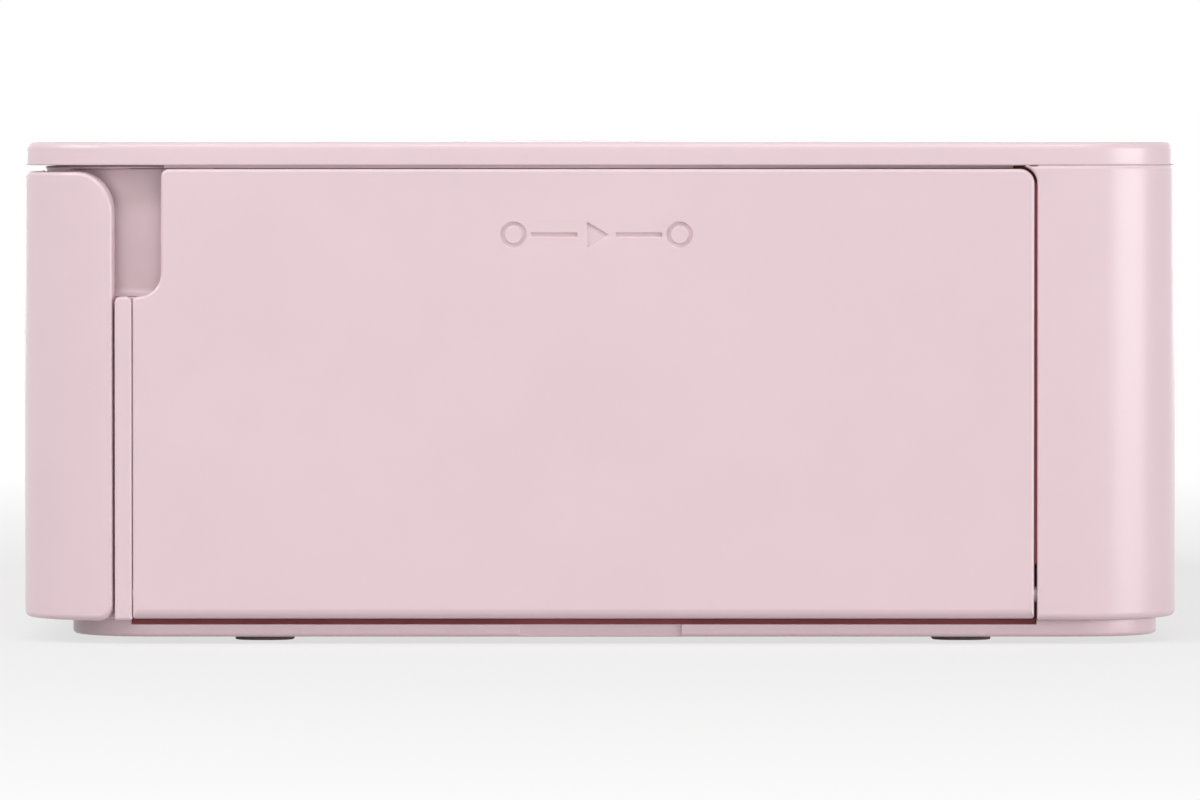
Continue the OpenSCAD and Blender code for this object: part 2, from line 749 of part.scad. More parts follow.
module front_cover() color(pink) difference() {
    union() {
        difference() {
            slab(-half_w, half_w, front, back, cover_z0, cover_z1, corner_r, edge_round, cover_edge);
            layer(0, case_h) outline(cover_t);
            box(-big, big, wing_y, big, 0, case_h);
        }
        // Hinge knuckles
        for (s = [-1, 1])
            rod_x(s * knuckle_x - knuckle_w / 2, s * knuckle_x + knuckle_w / 2, cover_pivot, knuckle_r);
        // Stiffening ribs on the inside
        for (i = [-2:2])
            box(i * paper_w / 4 - 0.5, i * paper_w / 4 + 0.5, front + cover_t - root, front + cover_t + 0.3,
                cover_z0 + 12, cover_z1 - 6);
    }
    // Rounded rear corners of the wings
    along_x(-big, big) {
        difference() {
            translate([wing_y - wing_r, cover_z1 - wing_r]) square(wing_r + 1);
            translate([wing_y - wing_r, cover_z1 - wing_r]) circle(wing_r);
        }
        difference() {
            translate([wing_y - wing_foot_r, cover_z0 - 1]) square([2, wing_foot_r + 1]);
            translate([wing_y - wing_foot_r, cover_z0 + wing_foot_r]) circle(wing_foot_r);
        }
    }
    // Reliefs for the hinge ears
    for (s = [-1, 1], e = [-1, 1]) {
        ear_x = s * knuckle_x + e * ear_dx;
        box(ear_x - ear_w / 2 - fit, ear_x + ear_w / 2 + (e < 0 ? 0 : fit), front + cover_t - hinge_relief,
            front + cover_t + 5, 0, cover_pivot[1] + 4);
    }
    for (s = [-1, 1])
        rod_x(s * knuckle_x - 5, s * knuckle_x + 5, cover_pivot, cover_pin_d / 2 + turn_gap);
}

module cover_hinge_pins() color(steel) for (s = [-1, 1])
    rod_x(s * knuckle_x - knuckle_w / 2 - ear_w, s * knuckle_x + knuckle_w / 2 + ear_w,
        cover_pivot, cover_pin_d / 2);

module door_outline() {
    difference() {
        rrect(door_y0, door_y1, door_z0, door_z1, door_corner_r);
        rrect(door_y0 - 20, door_y0 + notch_d, notch_z, door_z1 + 20, notch_r);
    }
    // Square lower corners beside the hinge pins
    translate([door_y0, door_z0]) square([door_y1 - door_y0, 2 * door_corner_r]);
}

// Sunk mark in place of lettering: two spools joined by a ribbon, and a small arrow
module cassette_mark() {
    for (y = [mark_y[0] + mark_h / 2, mark_y[1] - mark_h / 2])
        translate([y, mark_z]) difference() {
            circle(mark_h / 2);
            circle(mark_h / 2 - mark_line);
        }
    for (y = [mark_y[0] + mark_h + 0.5, 2.2 + (mark_y[0] + mark_y[1]) / 2])
        translate([y, mark_z - mark_line / 2]) square([(mark_y[1] - mark_y[0]) / 2 - mark_h - 2.7, mark_line]);
    translate([(mark_y[0] + mark_y[1]) / 2, mark_z])
        polygon([[-1.1, -mark_h / 2], [1.4, 0], [-1.1, mark_h / 2]]);
}

module ink_door() color(pink) difference() {
    union() {
        along_x(door_in, half_w) door_outline();
        // Pin bosses and pins
        intersection() {
            for (y = [door_y0, door_y1 - door_boss_l])
                rod_y(y, y + door_boss_l, door_pivot, door_boss_r);
            box(0, half_w, -big, big, 0, case_h);
        }
        rod_y(door_y0 - door_pin_l, door_y0 + 1, door_pivot, door_pin_d / 2);
        rod_y(door_y1 - 1, door_y1 + door_gap + door_pin_l, door_pivot, door_pin_d / 2);
        // Ribs on the inner face
        along_x(door_in - rib_h, door_in) {
            difference() {
                rrect(rib_y0, door_y1 - 1.2, door_z0 + 6, door_z1 - 2, 1.5);
                rrect(rib_y0 + rib_t, door_y1 - 1.2 - rib_t, door_z0 + 6 + rib_t, door_z1 - 2 - rib_t, 0.5);
            }
            for (y = [head_y - 3, head_y + 22])
                translate([y, door_z0 + 6]) square([rib_t, door_z1 - door_z0 - 8]);
        }
        // Latch tongue
        box(bay_out - bay_t - 0.6, door_in, latch_y - 5, latch_y + 5, latch_z, latch_z + 0.9);
    }
    along_x(half_w - mark_t, half_w + 1) cassette_mark();
    // Rolled lower edge
    along_y(-big, big) difference() {
        translate([half_w - door_lip_r, door_z0 - 1]) square([door_lip_r + 1, door_lip_r + 1]);
        translate([half_w - door_lip_r, door_z0 + door_lip_r]) circle(door_lip_r);
    }
}

// Screen and keys
module screen_glass() color(black) translate([screen_c[0], screen_c[1], 0])
    layer(case_h - glass_t - 0.2, case_h - 0.1)
        rrect(-screen_w / 2 + 0.15, screen_w / 2 - 0.15, -screen_d / 2 + 0.15, screen_d / 2 - 0.15, screen_r);

module display_panel() color(grey) translate([screen_c[0], screen_c[1], 0]) {
    layer(lid_z - screen_stack, lid_z)
        rrect(-screen_w / 2 + 1, screen_w / 2 - 1, -screen_d / 2 + 1, screen_d / 2 - 1, 1);
    layer(lid_z, case_h - glass_t - 0.2)
        rrect(-screen_w / 2 + glass_lip + 0.4, screen_w / 2 - glass_lip - 0.4, -screen_d / 2 + glass_lip + 0.4,
            screen_d / 2 - glass_lip - 0.4, 1);
}

module key_board() color(green)
    box(key_board_x[0], key_board_x[1], key_board_y[0], key_board_y[1], board_z, board_z + board_t);

switch_places = concat(small_keys, [ring_c, print_c],
    [for (a = [0:90:270]) ring_c + nav_switch_r * [cos(a), sin(a)]]);

module key_switches() color(steel) for (p = switch_places) {
    box(p[0] - 1.7, p[0] + 1.7, p[1] - 1.7, p[1] + 1.7, board_z + board_t, board_z + board_t + switch_h - 0.2);
    rod_z(board_z + board_t + switch_h - 0.2, board_z + board_t + switch_h, p, 1);
}

module round_key(p, d) {
    rod_z(key_z0, case_h - key_drop, p, d / 2);
    rod_z(key_z0, flange_z, p, d / 2 + flange_w);
}

module power_key() color(grey) round_key(power_c, key_d);
module back_key() color(pink) round_key(small_keys[0], key_d);
module menu_key() color(pink) round_key(small_keys[1], key_d);
module edit_key() color(pink) round_key(small_keys[2], key_d);

module ok_key() color(pink) {
    rod_z(key_z0, case_h - key_drop - 0.2, ring_c, ok_d / 2);
    rod_z(key_z0, flange_z, ring_c, ok_d / 2 + 0.75);
}

// The ring tilts about X on two ridges of the rocker plate, and the plate tilts about Y on the key board
module nav_ring() color(pink) {
    r = ring_d / 2;
    top = case_h - key_drop;
    translate([ring_c[0], ring_c[1], 0]) {
        rotate_extrude() polygon([[ok_d / 2 + 0.5, ring_z], [r - 0.6, ring_z], [r - 0.6, ring_rim_z],
            [r + 1, ring_rim_z], [r + 1, ring_rim_z + 0.4], [r, ring_rim_z + 0.4], [r, top - 0.3],
            [r - 0.4, top], [ok_d / 2 + 1, top], [ok_d / 2 + 0.5, top - 0.4]]);
        // Legs that press the front and rear switches
        for (s = [-1, 1])
            box(-1, 1, s * nav_switch_r - 1, s * nav_switch_r + 1, switch_top + nav_gap, ring_z + 0.2);
    }
}

module nav_rocker() color(dark) translate([ring_c[0], ring_c[1], 0]) {
    layer(rocker_z, rocker_z + 0.6) difference() {
        circle(ring_d / 2 - 1.2);
        circle(ok_d / 2 + 1);
        // Room for the ring's legs
        for (s = [-1, 1])
            translate([-1.6, s * nav_switch_r - 2]) square([3.2, 5]);
        for (s = [-1, 1])
            translate([-1.6, s * (nav_switch_r + 2) - 2]) square([3.2, 4]);
    }
    for (s = [-1, 1]) {
        ridge_x = s > 0 ? ok_d / 2 + 1.5 : -ok_d / 2 - 1.5 - ridge_l;
        box(ridge_x, ridge_x + ridge_l, -0.4, 0.4, rocker_z, ring_z - tilt_gap);
        box(-0.4, 0.4, ridge_x, ridge_x + ridge_l, switch_top - switch_h + tilt_gap, rocker_z + 0.6);
        // Nubs that press the left and right switches
        box(s * nav_switch_r - 1, s * nav_switch_r + 1, -1, 1, switch_top + nav_gap, rocker_z + 0.3);
    }
}

module print_key() color(grey) {
    layer(key_z0, case_h - key_drop) key_hole(print_c, print_w, print_d);
    layer(key_z0, flange_z) key_hole(print_c, print_w + 2 * flange_w, print_d + 2 * flange_w);
}

// Chassis
module plate_outline() {
    polygon([[chassis_y0, floor_z], [chassis_y0, chassis_step[1]], chassis_step, [chassis_step[0], chassis_top],
        [chassis_y1, chassis_top], [chassis_y1, floor_z]]);
}

module shaft_holes() {
    translate(platen_c) circle(bush_r);
    translate(capstan_c) circle(bush_r);
    translate(pinch_c) circle(pinch_shaft_r + turn_gap);
    translate(pickup_c) circle(pickup_shaft_r + turn_gap);
    translate(cam_c) circle(cam_shaft_r + turn_gap);
    // Slots that guide the head's pins up and down
    for (y = [-head_pin_dz, head_pin_dz])
        translate([head_y + y, 0])
            rrect(-head_pin_r - turn_gap, head_pin_r + turn_gap, head_pin_z - head_lift - head_pin_r - fit,
                head_pin_z + head_pin_r + turn_gap, head_pin_r);
}

module chassis_left() color(steel) along_x(-plate_x - plate_t, -plate_x) difference() {
    plate_outline();
    shaft_holes();
    for (c = [front_spool, rear_spool])
        translate(c) circle(spool_shaft_r + turn_gap);
}

module chassis_right() color(steel) along_x(plate_x, plate_x + plate_t) difference() {
    plate_outline();
    shaft_holes();
    cassette_profile(cassette_fit);
}

module cross_bars() color(steel) for (y = [front_spool[0] - bar_w + 1, rear_spool[0] - 1])
    box(-plate_x, plate_x, y, y + bar_w, chassis_top - bar_t, chassis_top);

// Standoffs of the gear plate, placed clear of the gears
standoffs = [pickup_c + [-8, -10.2], pickup_c + [-8, 13.5], pickup_c + [30, -9], capstan_c + [2.5, -12.5],
    capstan_c + [2.5, 25], front_spool + [-12, 11.5]];

module gear_plate() color(grey) {
    y0 = pickup_c[0] - 10;
    y1 = capstan_c[0] + 4.5;
    z0 = pickup_c[1] - 12.7;
    z1 = pickup_c[1] + 16.5;
    along_x(-gear_plate_in - plate_t, -gear_plate_in) difference() {
        polygon([[y0, z0], [y0, z1], [chassis_step[0], z1], [chassis_step[0], chassis_top], [y1, chassis_top],
            [y1, z0]]);
        translate(capstan_c) circle(capstan_d / 2 + turn_gap);
        translate(pickup_c) circle(pickup_shaft_r + turn_gap);
        translate(cam_c) circle(cam_shaft_r + turn_gap);
        for (c = [front_spool, rear_spool])
            translate(c) circle(spool_shaft_r + turn_gap);
        for (c = [feed_pinion_c, ribbon_pinion_c, lift_pinion_c])
            translate(c) circle(motor_bore * 2);
    }
    for (p = standoffs)
        rod_x(-gear_plate_in - root, -plate_x - plate_t, p, standoff_r);
}

module bushing(s, c, bore) {
    difference() {
        union() {
            out = s > 0 ? plate_x - bush_l : -plate_x - plate_t;
            rim = s > 0 ? plate_x - bush_l : -plate_x;
            rod_x(out, out + plate_t + bush_l, c, bush_r);
            rod_x(rim, rim + bush_l, c, bush_r + bush_rim);
        }
        rod_x(-big / 2, big / 2, c, bore);
    }
}

module roller_bushings() color(brass) for (s = [-1, 1]) {
    bushing(s, platen_c, platen_shaft_r + turn_gap);
    bushing(s, capstan_c, capstan_d / 2 + turn_gap);
}

// Paper path
module guide_ribs(y0, y1, z) {
    for (x = [-48:guide_rib_pitch:48])
        box(x - guide_rib_w / 2, x + guide_rib_w / 2, y0, y1, z - guide_rib, z + guide_rib);
}

module exit_guide() color(dark) {
    y1 = head_y - 15;
    panel_back = front + panel_inset + wall;
    box(-plate_x, plate_x, chassis_y0, y1, exit_guide_z, exit_guide_z + guide_t);
    box(-tray_half_w + 0.5, tray_half_w - 0.5, panel_back, chassis_y0 + root,
        exit_guide_z, exit_guide_z + guide_t);
    guide_ribs(panel_back, y1, exit_guide_z + guide_t);
}

// Ramp that turns the paper up from the tray to the platen, on a quarter of an ellipse
module paper_ramp() color(dark) along_x(-plate_x, plate_x) difference() {
    rise = nip_z - 0.9 - floor_z;
    run = head_y - 6 - tray_back;
    polygon(concat([for (a = [0:10:90]) [head_y - 6 - run * cos(a), floor_z + rise * sin(a)]],
        [[ramp_y1, floor_z + rise], [ramp_y1, floor_z]]));
    translate(platen_c) circle(platen_d / 2 + 0.6);
}

module rear_guide() color(dark) difference() {
    union() {
        along_x(-plate_x, plate_x) {
            translate([head_y + 6.5, shelf_z]) square([capstan_pitch - 10, shelf_t]);
            translate([capstan_c[0] + 3.5, shelf_z]) square([back - wall - fit - capstan_c[0] - 3.5, shelf_t]);
        }
        guide_ribs(head_y + 10, capstan_c[0] - 6, shelf_z + shelf_t);
        // Ribs that pass under the capstan
        for (x = [-30, 0, 30])
            box(x - 0.8, x + 0.8, capstan_c[0] - 5.8, capstan_c[0] + 6, capstan_c[1] - 5.5, shelf_z + root);
    }
    rod_x(-big / 2, big / 2, platen_c, platen_d / 2 + 0.6);
    rod_x(-big / 2, big / 2, capstan_c, capstan_d / 2 + 0.4);
    for (s = [-1, 1]) {
        end_x0 = s > 0 ? plate_x - 2 * bush_l : -plate_x - bush_l;
        rod_x(end_x0, end_x0 + 3 * bush_l, capstan_c, bush_r + bush_rim + 0.4);
        box(s > 0 ? slot_half_w : -big, s > 0 ? big : -slot_half_w, chassis_y1, back, 0, case_h);
    }
}

module platen_roller() color(rubber) {
    rod_x(-paper_w / 2 - 2, paper_w / 2 + 2, platen_c, platen_d / 2);
    rod_x(-shaft_end, shaft_end, platen_c, platen_shaft_r);
}

module capstan_roller() color(steel)
    rod_x(-gear_plate_in - plate_t, shaft_end, capstan_c, capstan_d / 2);

module capstan_gear() color(white)
    wheel(capstan_c, capstan_teeth, gap_phase(capstan_c, feed_pinion_c, capstan_teeth), capstan_d / 2);

module pinch_roller() color(rubber) {
    rod_x(-paper_w / 2, paper_w / 2, pinch_c, pinch_d / 2);
    rod_x(-shaft_end, shaft_end, pinch_c, pinch_shaft_r);
}

module pickup_roller() color(rubber) {
    for (x = [-tyre_x, tyre_x])
        rod_x(x - tyre_w / 2, x + tyre_w / 2, pickup_c, pickup_d / 2);
    rod_x(-gear_plate_in - plate_t, shaft_end, pickup_c, pickup_shaft_r);
}

module pickup_gear() color(white)
    wheel(pickup_c, pickup_teeth, pickup_phase, pickup_shaft_r);

// Thermal head
module thermal_head() color(white) {
    box(-paper_w / 2 - 2, paper_w / 2 + 2, head_y - 5, head_y + 5, head_bottom, head_bottom + 1);
    intersection() {
        rod_x(-paper_w / 2 - 1, paper_w / 2 + 1, [head_y, head_bottom + 1 - nib_h], 1);
        box(-big, big, -big, big, 0, head_bottom);
    }
}

module head_heatsink() color(grey) {
    along_x(-head_half, head_half) {
        translate([head_y - head_w / 2, head_bottom + 1]) square([head_w, 2.4]);
        for (i = [0:4])
            translate([head_y - head_w / 2 + i * (head_w - fin_t) / 4, head_bottom + 3])
                square([fin_t, head_top - head_bottom - 3]);
        translate([head_y - 3.5, head_top - 1.5]) square([7, 1.5]);
    }
    for (s = [-1, 1]) {
        end_x0 = s > 0 ? head_half : -head_half - 3;
        box(end_x0, end_x0 + 3, head_y - 6, head_y + 6, head_bottom + 3.5, head_top);
        for (y = [-head_pin_dz, head_pin_dz]) {
            pin_x0 = s > 0 ? head_half + 2 : -shaft_end;
            rod_x(pin_x0, pin_x0 + shaft_end - head_half - 2, [head_y + y, head_pin_z], head_pin_r);
        }
    }
}

// Spiral cam that drives a flat follower: the follower's distance grows evenly over half a turn
cam_slope = head_lift / PI;
function cam_flank(a) = (cam_low_r + head_lift * a / 180) * [cos(270 - a), sin(270 - a)]
    - cam_slope * [-sin(270 - a), cos(270 - a)];

module cam_shaft() color(white) {
    rod_x(-gear_plate_in - plate_t, shaft_end, cam_c, cam_shaft_r);
    for (x = [-cam_x, cam_x])
        translate([0, cam_c[0], cam_c[1]]) along_x(x - cam_w / 2, x + cam_w / 2)
            polygon(concat([for (a = [180:-6:0]) cam_flank(a)],
                [for (a = [270:10:360]) polar(cam_low_r, a)]));
}

module cam_gear() color(white)
    wheel(cam_c, cam_teeth, gap_phase(cam_c, lift_pinion_c, cam_teeth), cam_shaft_r);

// Motors stand on the outside of the gear plate, and each pinion carries its motor's shaft
module motor(c, r) {
    difference() {
        union() {
            rod_x(-motor_end + motor_tail, -gear_plate_in - plate_t, c, r);
            rod_x(-motor_end, -motor_end + motor_tail + root, c, r * 0.45);
        }
        rod_x(-gear_plate_in - plate_t - 2, 0, c, motor_bore);
    }
}

module pinion(c, phase) {
    gear(gear_x0 - 0.5, pinion_w, c, pinion_teeth, phase);
    rod_x(-gear_plate_in - plate_t - 1.5, gear_x0, c, motor_bore - 0.1);
}

module feed_motor() color(steel) motor(feed_pinion_c, 10);
module feed_pinion() color(brass) pinion(feed_pinion_c, heading(feed_pinion_c, capstan_c));
module ribbon_motor() color(steel) motor(ribbon_pinion_c, 7.5);
module ribbon_pinion() color(brass) pinion(ribbon_pinion_c, ribbon_phase);
module lift_motor() color(steel) motor(lift_pinion_c, 7);
module lift_pinion() color(brass) pinion(lift_pinion_c, heading(lift_pinion_c, cam_c));

// Spool drives
module spool_shaft(c) {
    rod_x(-gear_plate_in - plate_t, cassette_x0 - 0.4, c, spool_shaft_r);
    rod_x(cassette_x0 - 0.4, cassette_x0 + dog_l, c, dog_r);
}

module takeup_gear() color(white) {
    wheel(front_spool, takeup_teeth, takeup_phase, spool_shaft_r - root);
    spool_shaft(front_spool);
}

module supply_hub() color(white) {
    rod_x(gear_x0, gear_x0 + gear_w, rear_spool, 6);
    spool_shaft(rear_spool);
}

// Ink cassette
module cassette_profile(grow) {
    for (c = [front_spool, rear_spool])
        translate(c) circle(spool_case_r + grow);
    translate([front_spool[0], spool_z - spool_case_r + 0.3 - grow])
        square([spool_pitch, bridge_h + 2 * grow]);
}

module spool_housing(c, side) {
    difference() {
        translate(c) circle(spool_case_r);
        translate(c) circle(spool_case_r - cassette_wall);
        // Mouth where the ribbon leaves the housing
        translate(c) polygon([[0, 0], [side * 0.5, -spool_case_r - 1], [side * 12, -spool_case_r - 1],
            [side * 12, -4]]);
    }
}

module cassette_frame() color(dark) {
    cap_x = cassette_x1 - cap_l;
    along_x(cassette_x0 + 1.5, cap_x - 1.5) {
        spool_housing(front_spool, 1);
        spool_housing(rear_spool, -1);
    }
    difference() {
        along_x(cassette_x0, cassette_x0 + 1.5) cassette_profile(0);
        for (c = [front_spool, rear_spool])
            rod_x(-big / 2, 0, c, core_r + 0.1);
    }
    // Bars that join the two housings outside the paper's width
    bridge_y = front_spool[0] + spool_case_r * 0.75;
    for (x = [cassette_x0 + 1.5, head_half + 2.5]) {
        bar_l = x < 0 ? 4 : cap_x - 1.5 - x;
        box(x - root, x + bar_l + root, bridge_y, 2 * head_y - bridge_y, spool_z - spool_case_r + 0.3,
            spool_z - spool_case_r + 0.3 + bridge_h);
    }
    difference() {
        along_x(cap_x - 1.5, cassette_x1) cassette_profile(0);
        for (c = [front_spool, rear_spool]) {
            rod_x(cap_x - 2, cap_x + 1, c, neck_r + 0.1);
            rod_x(cap_x, cassette_x1 + 1, c, spool_case_r - cassette_wall);
        }
    }
    // Finger grips across the two end cups
    for (c = [front_spool, rear_spool])
        box(cap_x, cassette_x1, c[0] - 0.8, c[0] + 0.8, c[1] - spool_case_r + 0.5, c[1] + spool_case_r - 0.5);
}

module spool(c, roll_r) {
    cap_x = cassette_x1 - cap_l;
    difference() {
        union() {
            rod_x(cassette_x0 + 0.2, cap_x - 1.8, c, core_r);
            rod_x(cap_x - 3, cap_x - 0.2, c, neck_r);
            rod_x(-paper_w / 2 - 0.5, paper_w / 2 + 0.5, c, roll_r);
        }
        rod_x(-big / 2, cassette_x0 + dog_l, c, dog_r);
    }
}

module takeup_spool() color(amber) spool(front_spool, takeup_roll_d / 2);
module supply_spool() color(amber) spool(rear_spool, supply_roll_d / 2);

// Ribbon drawn from the supply roll under the head to the take-up roll
module ink_ribbon() color(amber) {
    web_y = [rear_spool[0], head_y + 4, head_y - 4, front_spool[0]];
    web_h = [rear_spool[1] - supply_roll_d / 2 - 0.3, web_z, web_z, front_spool[1] - takeup_roll_d / 2 - 0.3];
    along_x(-paper_w / 2 - 0.5, paper_w / 2 + 0.5)
        polygon(concat([for (i = [0:3]) [web_y[i], web_h[i]]],
            [for (i = [3:-1:0]) [web_y[i], web_h[i] + web_t]]));
}

// Boards and sockets
module main_board() color(green) {
    box(-main_half_w, main_half_w, main_y, main_y + main_d, board_z0, part_top);
    // Processor, memory, capacitors and flat-cable connectors
    box(-20, -6, main_y + 5, main_y + 19, part_top - root, part_top + 1.2);
    box(2, 14, main_y + 6, main_y + 16, part_top - root, part_top + 1.2);
    for (x = [-46, -38, 24, 34])
        rod_z(part_top - root, part_top + 5, [x, main_y + 6], 3);
    for (x = [-50, -30, 20, 40])
        box(x, x + 10, main_y + main_d - 6, main_y + main_d - 2, part_top - root, part_top + 3.5);
}

module card_board() color(green)
    box(usb_x - usb_w, card_x + card_w / 2 + 3.5, front + panel_inset + wall + 0.2, card_board_y1,
        card_board_z, card_board_z + 1);

module card_socket() color(steel) difference() {
    box(card_x - card_w / 2 - 1.2, card_x + card_w / 2 + 1.2,
        front + panel_inset + wall + 0.2, card_board_y1 - 1,
        card_board_z + 1, card_board_z + 5);
    box(card_x - card_w / 2, card_x + card_w / 2, front, card_board_y1 - 2.5,
        card_board_z + 1.7, card_board_z + 1.7 + card_t);
}

module usb_socket() color(steel) {
    y0 = front + panel_inset + 0.6;
    c = [usb_x, card_board_z + 1 + usb_h / 2];
    difference() {
        along_y(y0, y0 + 9) translate(c) rrect(-usb_w / 2, usb_w / 2, -usb_h / 2, usb_h / 2, 1.5);
        along_y(y0 - 1, y0 + 7) translate(c)
            rrect(-usb_w / 2 + usb_t, usb_w / 2 - usb_t, -usb_h / 2 + usb_t, usb_h / 2 - usb_t, 1.2);
    }
    box(usb_x - 3.3, usb_x + 3.3, y0 + 2, y0 + 8, c[1] - 0.35, c[1] + 0.35);
}

module power_board() color(green)
    box(jack_x - jack_w / 2 - 1, jack_x + jack_w / 2 + 1, power_y1 - power_l, power_y1,
        power_z, power_z + board_thick);

module dc_jack() color(black) difference() {
    union() {
        box(jack_x - jack_w / 2, jack_x + jack_w / 2, back - wall - jack_l, back - wall,
            power_z + board_thick, jack_z + jack_w / 2);
        rod_y(back - wall - 1, back - 0.5, [jack_x, jack_z], jack_r + 0.2);
    }
    difference() {
        rod_y(back - wall - jack_l + 2, back + 1, [jack_x, jack_z], jack_r - 0.4);
        rod_y(0, back - 1.5, [jack_x, jack_z], jack_pin_r);
    }
}

bottom_case();
rubber_feet();
case_screws();
rear_shell();
front_panel();
top_cover();
ink_bay_frame();
front_cover();
cover_hinge_pins();
ink_door();
eject_lever();
screen_glass();
display_panel();
key_board();
key_switches();
power_key();
back_key();
menu_key();
edit_key();
nav_rocker();
nav_ring();
ok_key();
print_key();
chassis_left();
chassis_right();
cross_bars();
gear_plate();
roller_bushings();
exit_guide();
paper_ramp();
rear_guide();
platen_roller();
capstan_roller();
capstan_gear();
pinch_roller();
pickup_roller();
pickup_gear();
thermal_head();
head_heatsink();
cam_shaft();
cam_gear();
feed_motor();
feed_pinion();
ribbon_motor();
ribbon_pinion();
lift_motor();
lift_pinion();
takeup_gear();
supply_hub();
cassette_frame();
takeup_spool();
supply_spool();
ink_ribbon();
main_board();
card_board();
card_socket();
usb_socket();
power_board();
dc_jack();
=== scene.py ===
import json
import math

import bmesh
import bpy
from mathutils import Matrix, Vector
from mathutils.geometry import tessellate_polygon


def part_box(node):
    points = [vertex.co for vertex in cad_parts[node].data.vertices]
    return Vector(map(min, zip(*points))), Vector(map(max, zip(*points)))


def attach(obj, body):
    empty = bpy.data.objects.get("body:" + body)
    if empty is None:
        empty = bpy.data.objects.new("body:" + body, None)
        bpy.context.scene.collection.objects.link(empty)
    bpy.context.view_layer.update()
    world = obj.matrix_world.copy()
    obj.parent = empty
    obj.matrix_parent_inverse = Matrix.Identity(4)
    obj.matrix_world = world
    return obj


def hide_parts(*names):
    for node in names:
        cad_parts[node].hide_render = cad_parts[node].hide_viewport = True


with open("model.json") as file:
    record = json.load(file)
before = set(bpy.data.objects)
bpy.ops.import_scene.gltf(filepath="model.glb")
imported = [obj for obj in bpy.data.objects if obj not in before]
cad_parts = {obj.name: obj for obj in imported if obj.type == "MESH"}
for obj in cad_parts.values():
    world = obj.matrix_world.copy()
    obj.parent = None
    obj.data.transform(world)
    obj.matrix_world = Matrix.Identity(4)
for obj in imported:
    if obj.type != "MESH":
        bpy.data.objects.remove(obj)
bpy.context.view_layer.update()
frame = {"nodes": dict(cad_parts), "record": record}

# Sizes in millimetres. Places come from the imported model, and the rest are the case's own driving sizes.
MM = 0.001


def span(name):
    lo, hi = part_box(name)
    return lo / MM, hi / MM


shell_lo, shell_hi = span("rear_shell")
cover_lo, cover_hi = span("front_cover")
glass_lo, glass_hi = span("screen_glass")
door_lo, door_hi = span("ink_door")

# Case. Names that end in R, W, H, D and T are radii, widths, heights, depths and thicknesses
HALF_W = shell_hi.x
HALF_D = shell_hi.y
FLOOR_Z = shell_lo.z
LID_Z = shell_hi.z
TOP_Z = span("top_cover")[1].z
CORNER_R = 12.5
WALL = 2.2
SHELL_ROUND = 0.75
RIM_H = 1
SEAM_H = 0.1
SEAM_W = 0.15
POST_R = 2.4
POST_BORE = 1.1
POST_H = 9
FRONT_POST = (83, -56)
REAR_POST = (85.6, 56)

# Rounding of moulded edges, from soft to just broken, and the steps that draw one
SOFT_EDGE = 0.3
FINE_EDGE = 0.15
TRIM_EDGE = 0.1
HAIR_EDGE = 0.02
BANDS = 5

# Lid
LID_INSET = 0.1
LID_ROUND = 0.9
LID_LOW_EDGE = 0.2
LEDGE_W = 5
HOLE_EDGE = 0.35
GLASS_R = 3
GLASS_GAP = 0.15
GLASS_EDGE = 0.22
WINDOW_EDGE = 0.25

# Keys and four-way ring
KEY_R = 4
KEY_GAP = 0.3
KEY_ROUND = 0.45
FLANGE = 0.8
FLANGE_DROP = 0.1
OK_R = 6.3
OK_FLANGE = 0.75
RING_R = 15
RING_GAP = 0.5
RING_ROUND = 0.5
RING_RISE = 0.3
RING_FOOT = 0.4
NAV_LEG = 12
NAV_LEG_HALF = 1
# The ink starts PRINT_DEEP under a sign's floor and ends PRINT_T above it
PRINT_DEEP = 0.04
PRINT_T = 0.1

# Sunk signs and the door's mark
SIGN_EDGE = 0.08
MARK_Y = (-11.4, 10.6)
MARK_Z = 46.9
MARK_R = 1.5
MARK_LINE = 0.5
MARK_DEPTH = 0.3
MARK_GAP = 2.2

# Front cover
COVER_T = 2.0
COVER_DROP = 0.3
COVER_PIVOT = (-63.3, 4.6)
COVER_FOOT_R = 1.8
WING_R = 4.6
PIVOT_X = 74
PIN_BOSS_R = 1.5
PIN_BOSS_HALF = 1.5
PIN_R = 0.75
EAR_DX = 3.4
EAR_W = 3.2
EAR_GAP = 0.2
RELIEF_D = 0.5
COVER_RIBS = 2
COVER_RIB_PITCH = 25

# Ink door, which ends DOOR_FRONT from the case's front and DOOR_BACK from its rear
DOOR_FRONT = 13
DOOR_BACK = 16.8
DOOR_Y0 = DOOR_FRONT - HALF_D
DOOR_Y1 = HALF_D - DOOR_BACK
DOOR_GAP = 0.35
DOOR_T = 2
DOOR_DROP = 0.2
DOOR_LIP = 1.1
DOOR_ROUND = 0.4
DOOR_CORNER = 1.7
DOOR_PIVOT = (89.4, 5.7)
DOOR_BOSS_R = 1.65
DOOR_BOSS_W = 4
DOOR_PIN_R = 0.9
NOTCH_D = 3.3
NOTCH_Z = 39.85
NOTCH_R = 2.7
RIB_Y0 = -28
RIB_YS = (3, 28)
RIB_H = 1.2
RIB_T = 1
LATCH_X = 84.4
LATCH_Y = (-7, 3)
LATCH_Z = 51.85
LATCH_T = 0.9

# Front wall
STEP_Y = -55.5
PANEL_INSET = 2.4
HINGE_ROOM = 3.7
MOUTH_X = 61.5
MOUTH_Z = 31
MOUTH_R = 3
POCKET_Y = (-62.5, -46.55)
POCKET_D = 3.4
POCKET_R = 2.5
CARD_X = 62
CARD_HALF = 12.3
CARD_ZS = (1.7, 4.5)
USB_X = 34
USB_HALF = 4.8
USB_ZS = (0.8, 4.4)
USB_R = 1.6
SOCKET_Z = 36.6
SILL_Y = -59.4
SILL_Z = 2.25

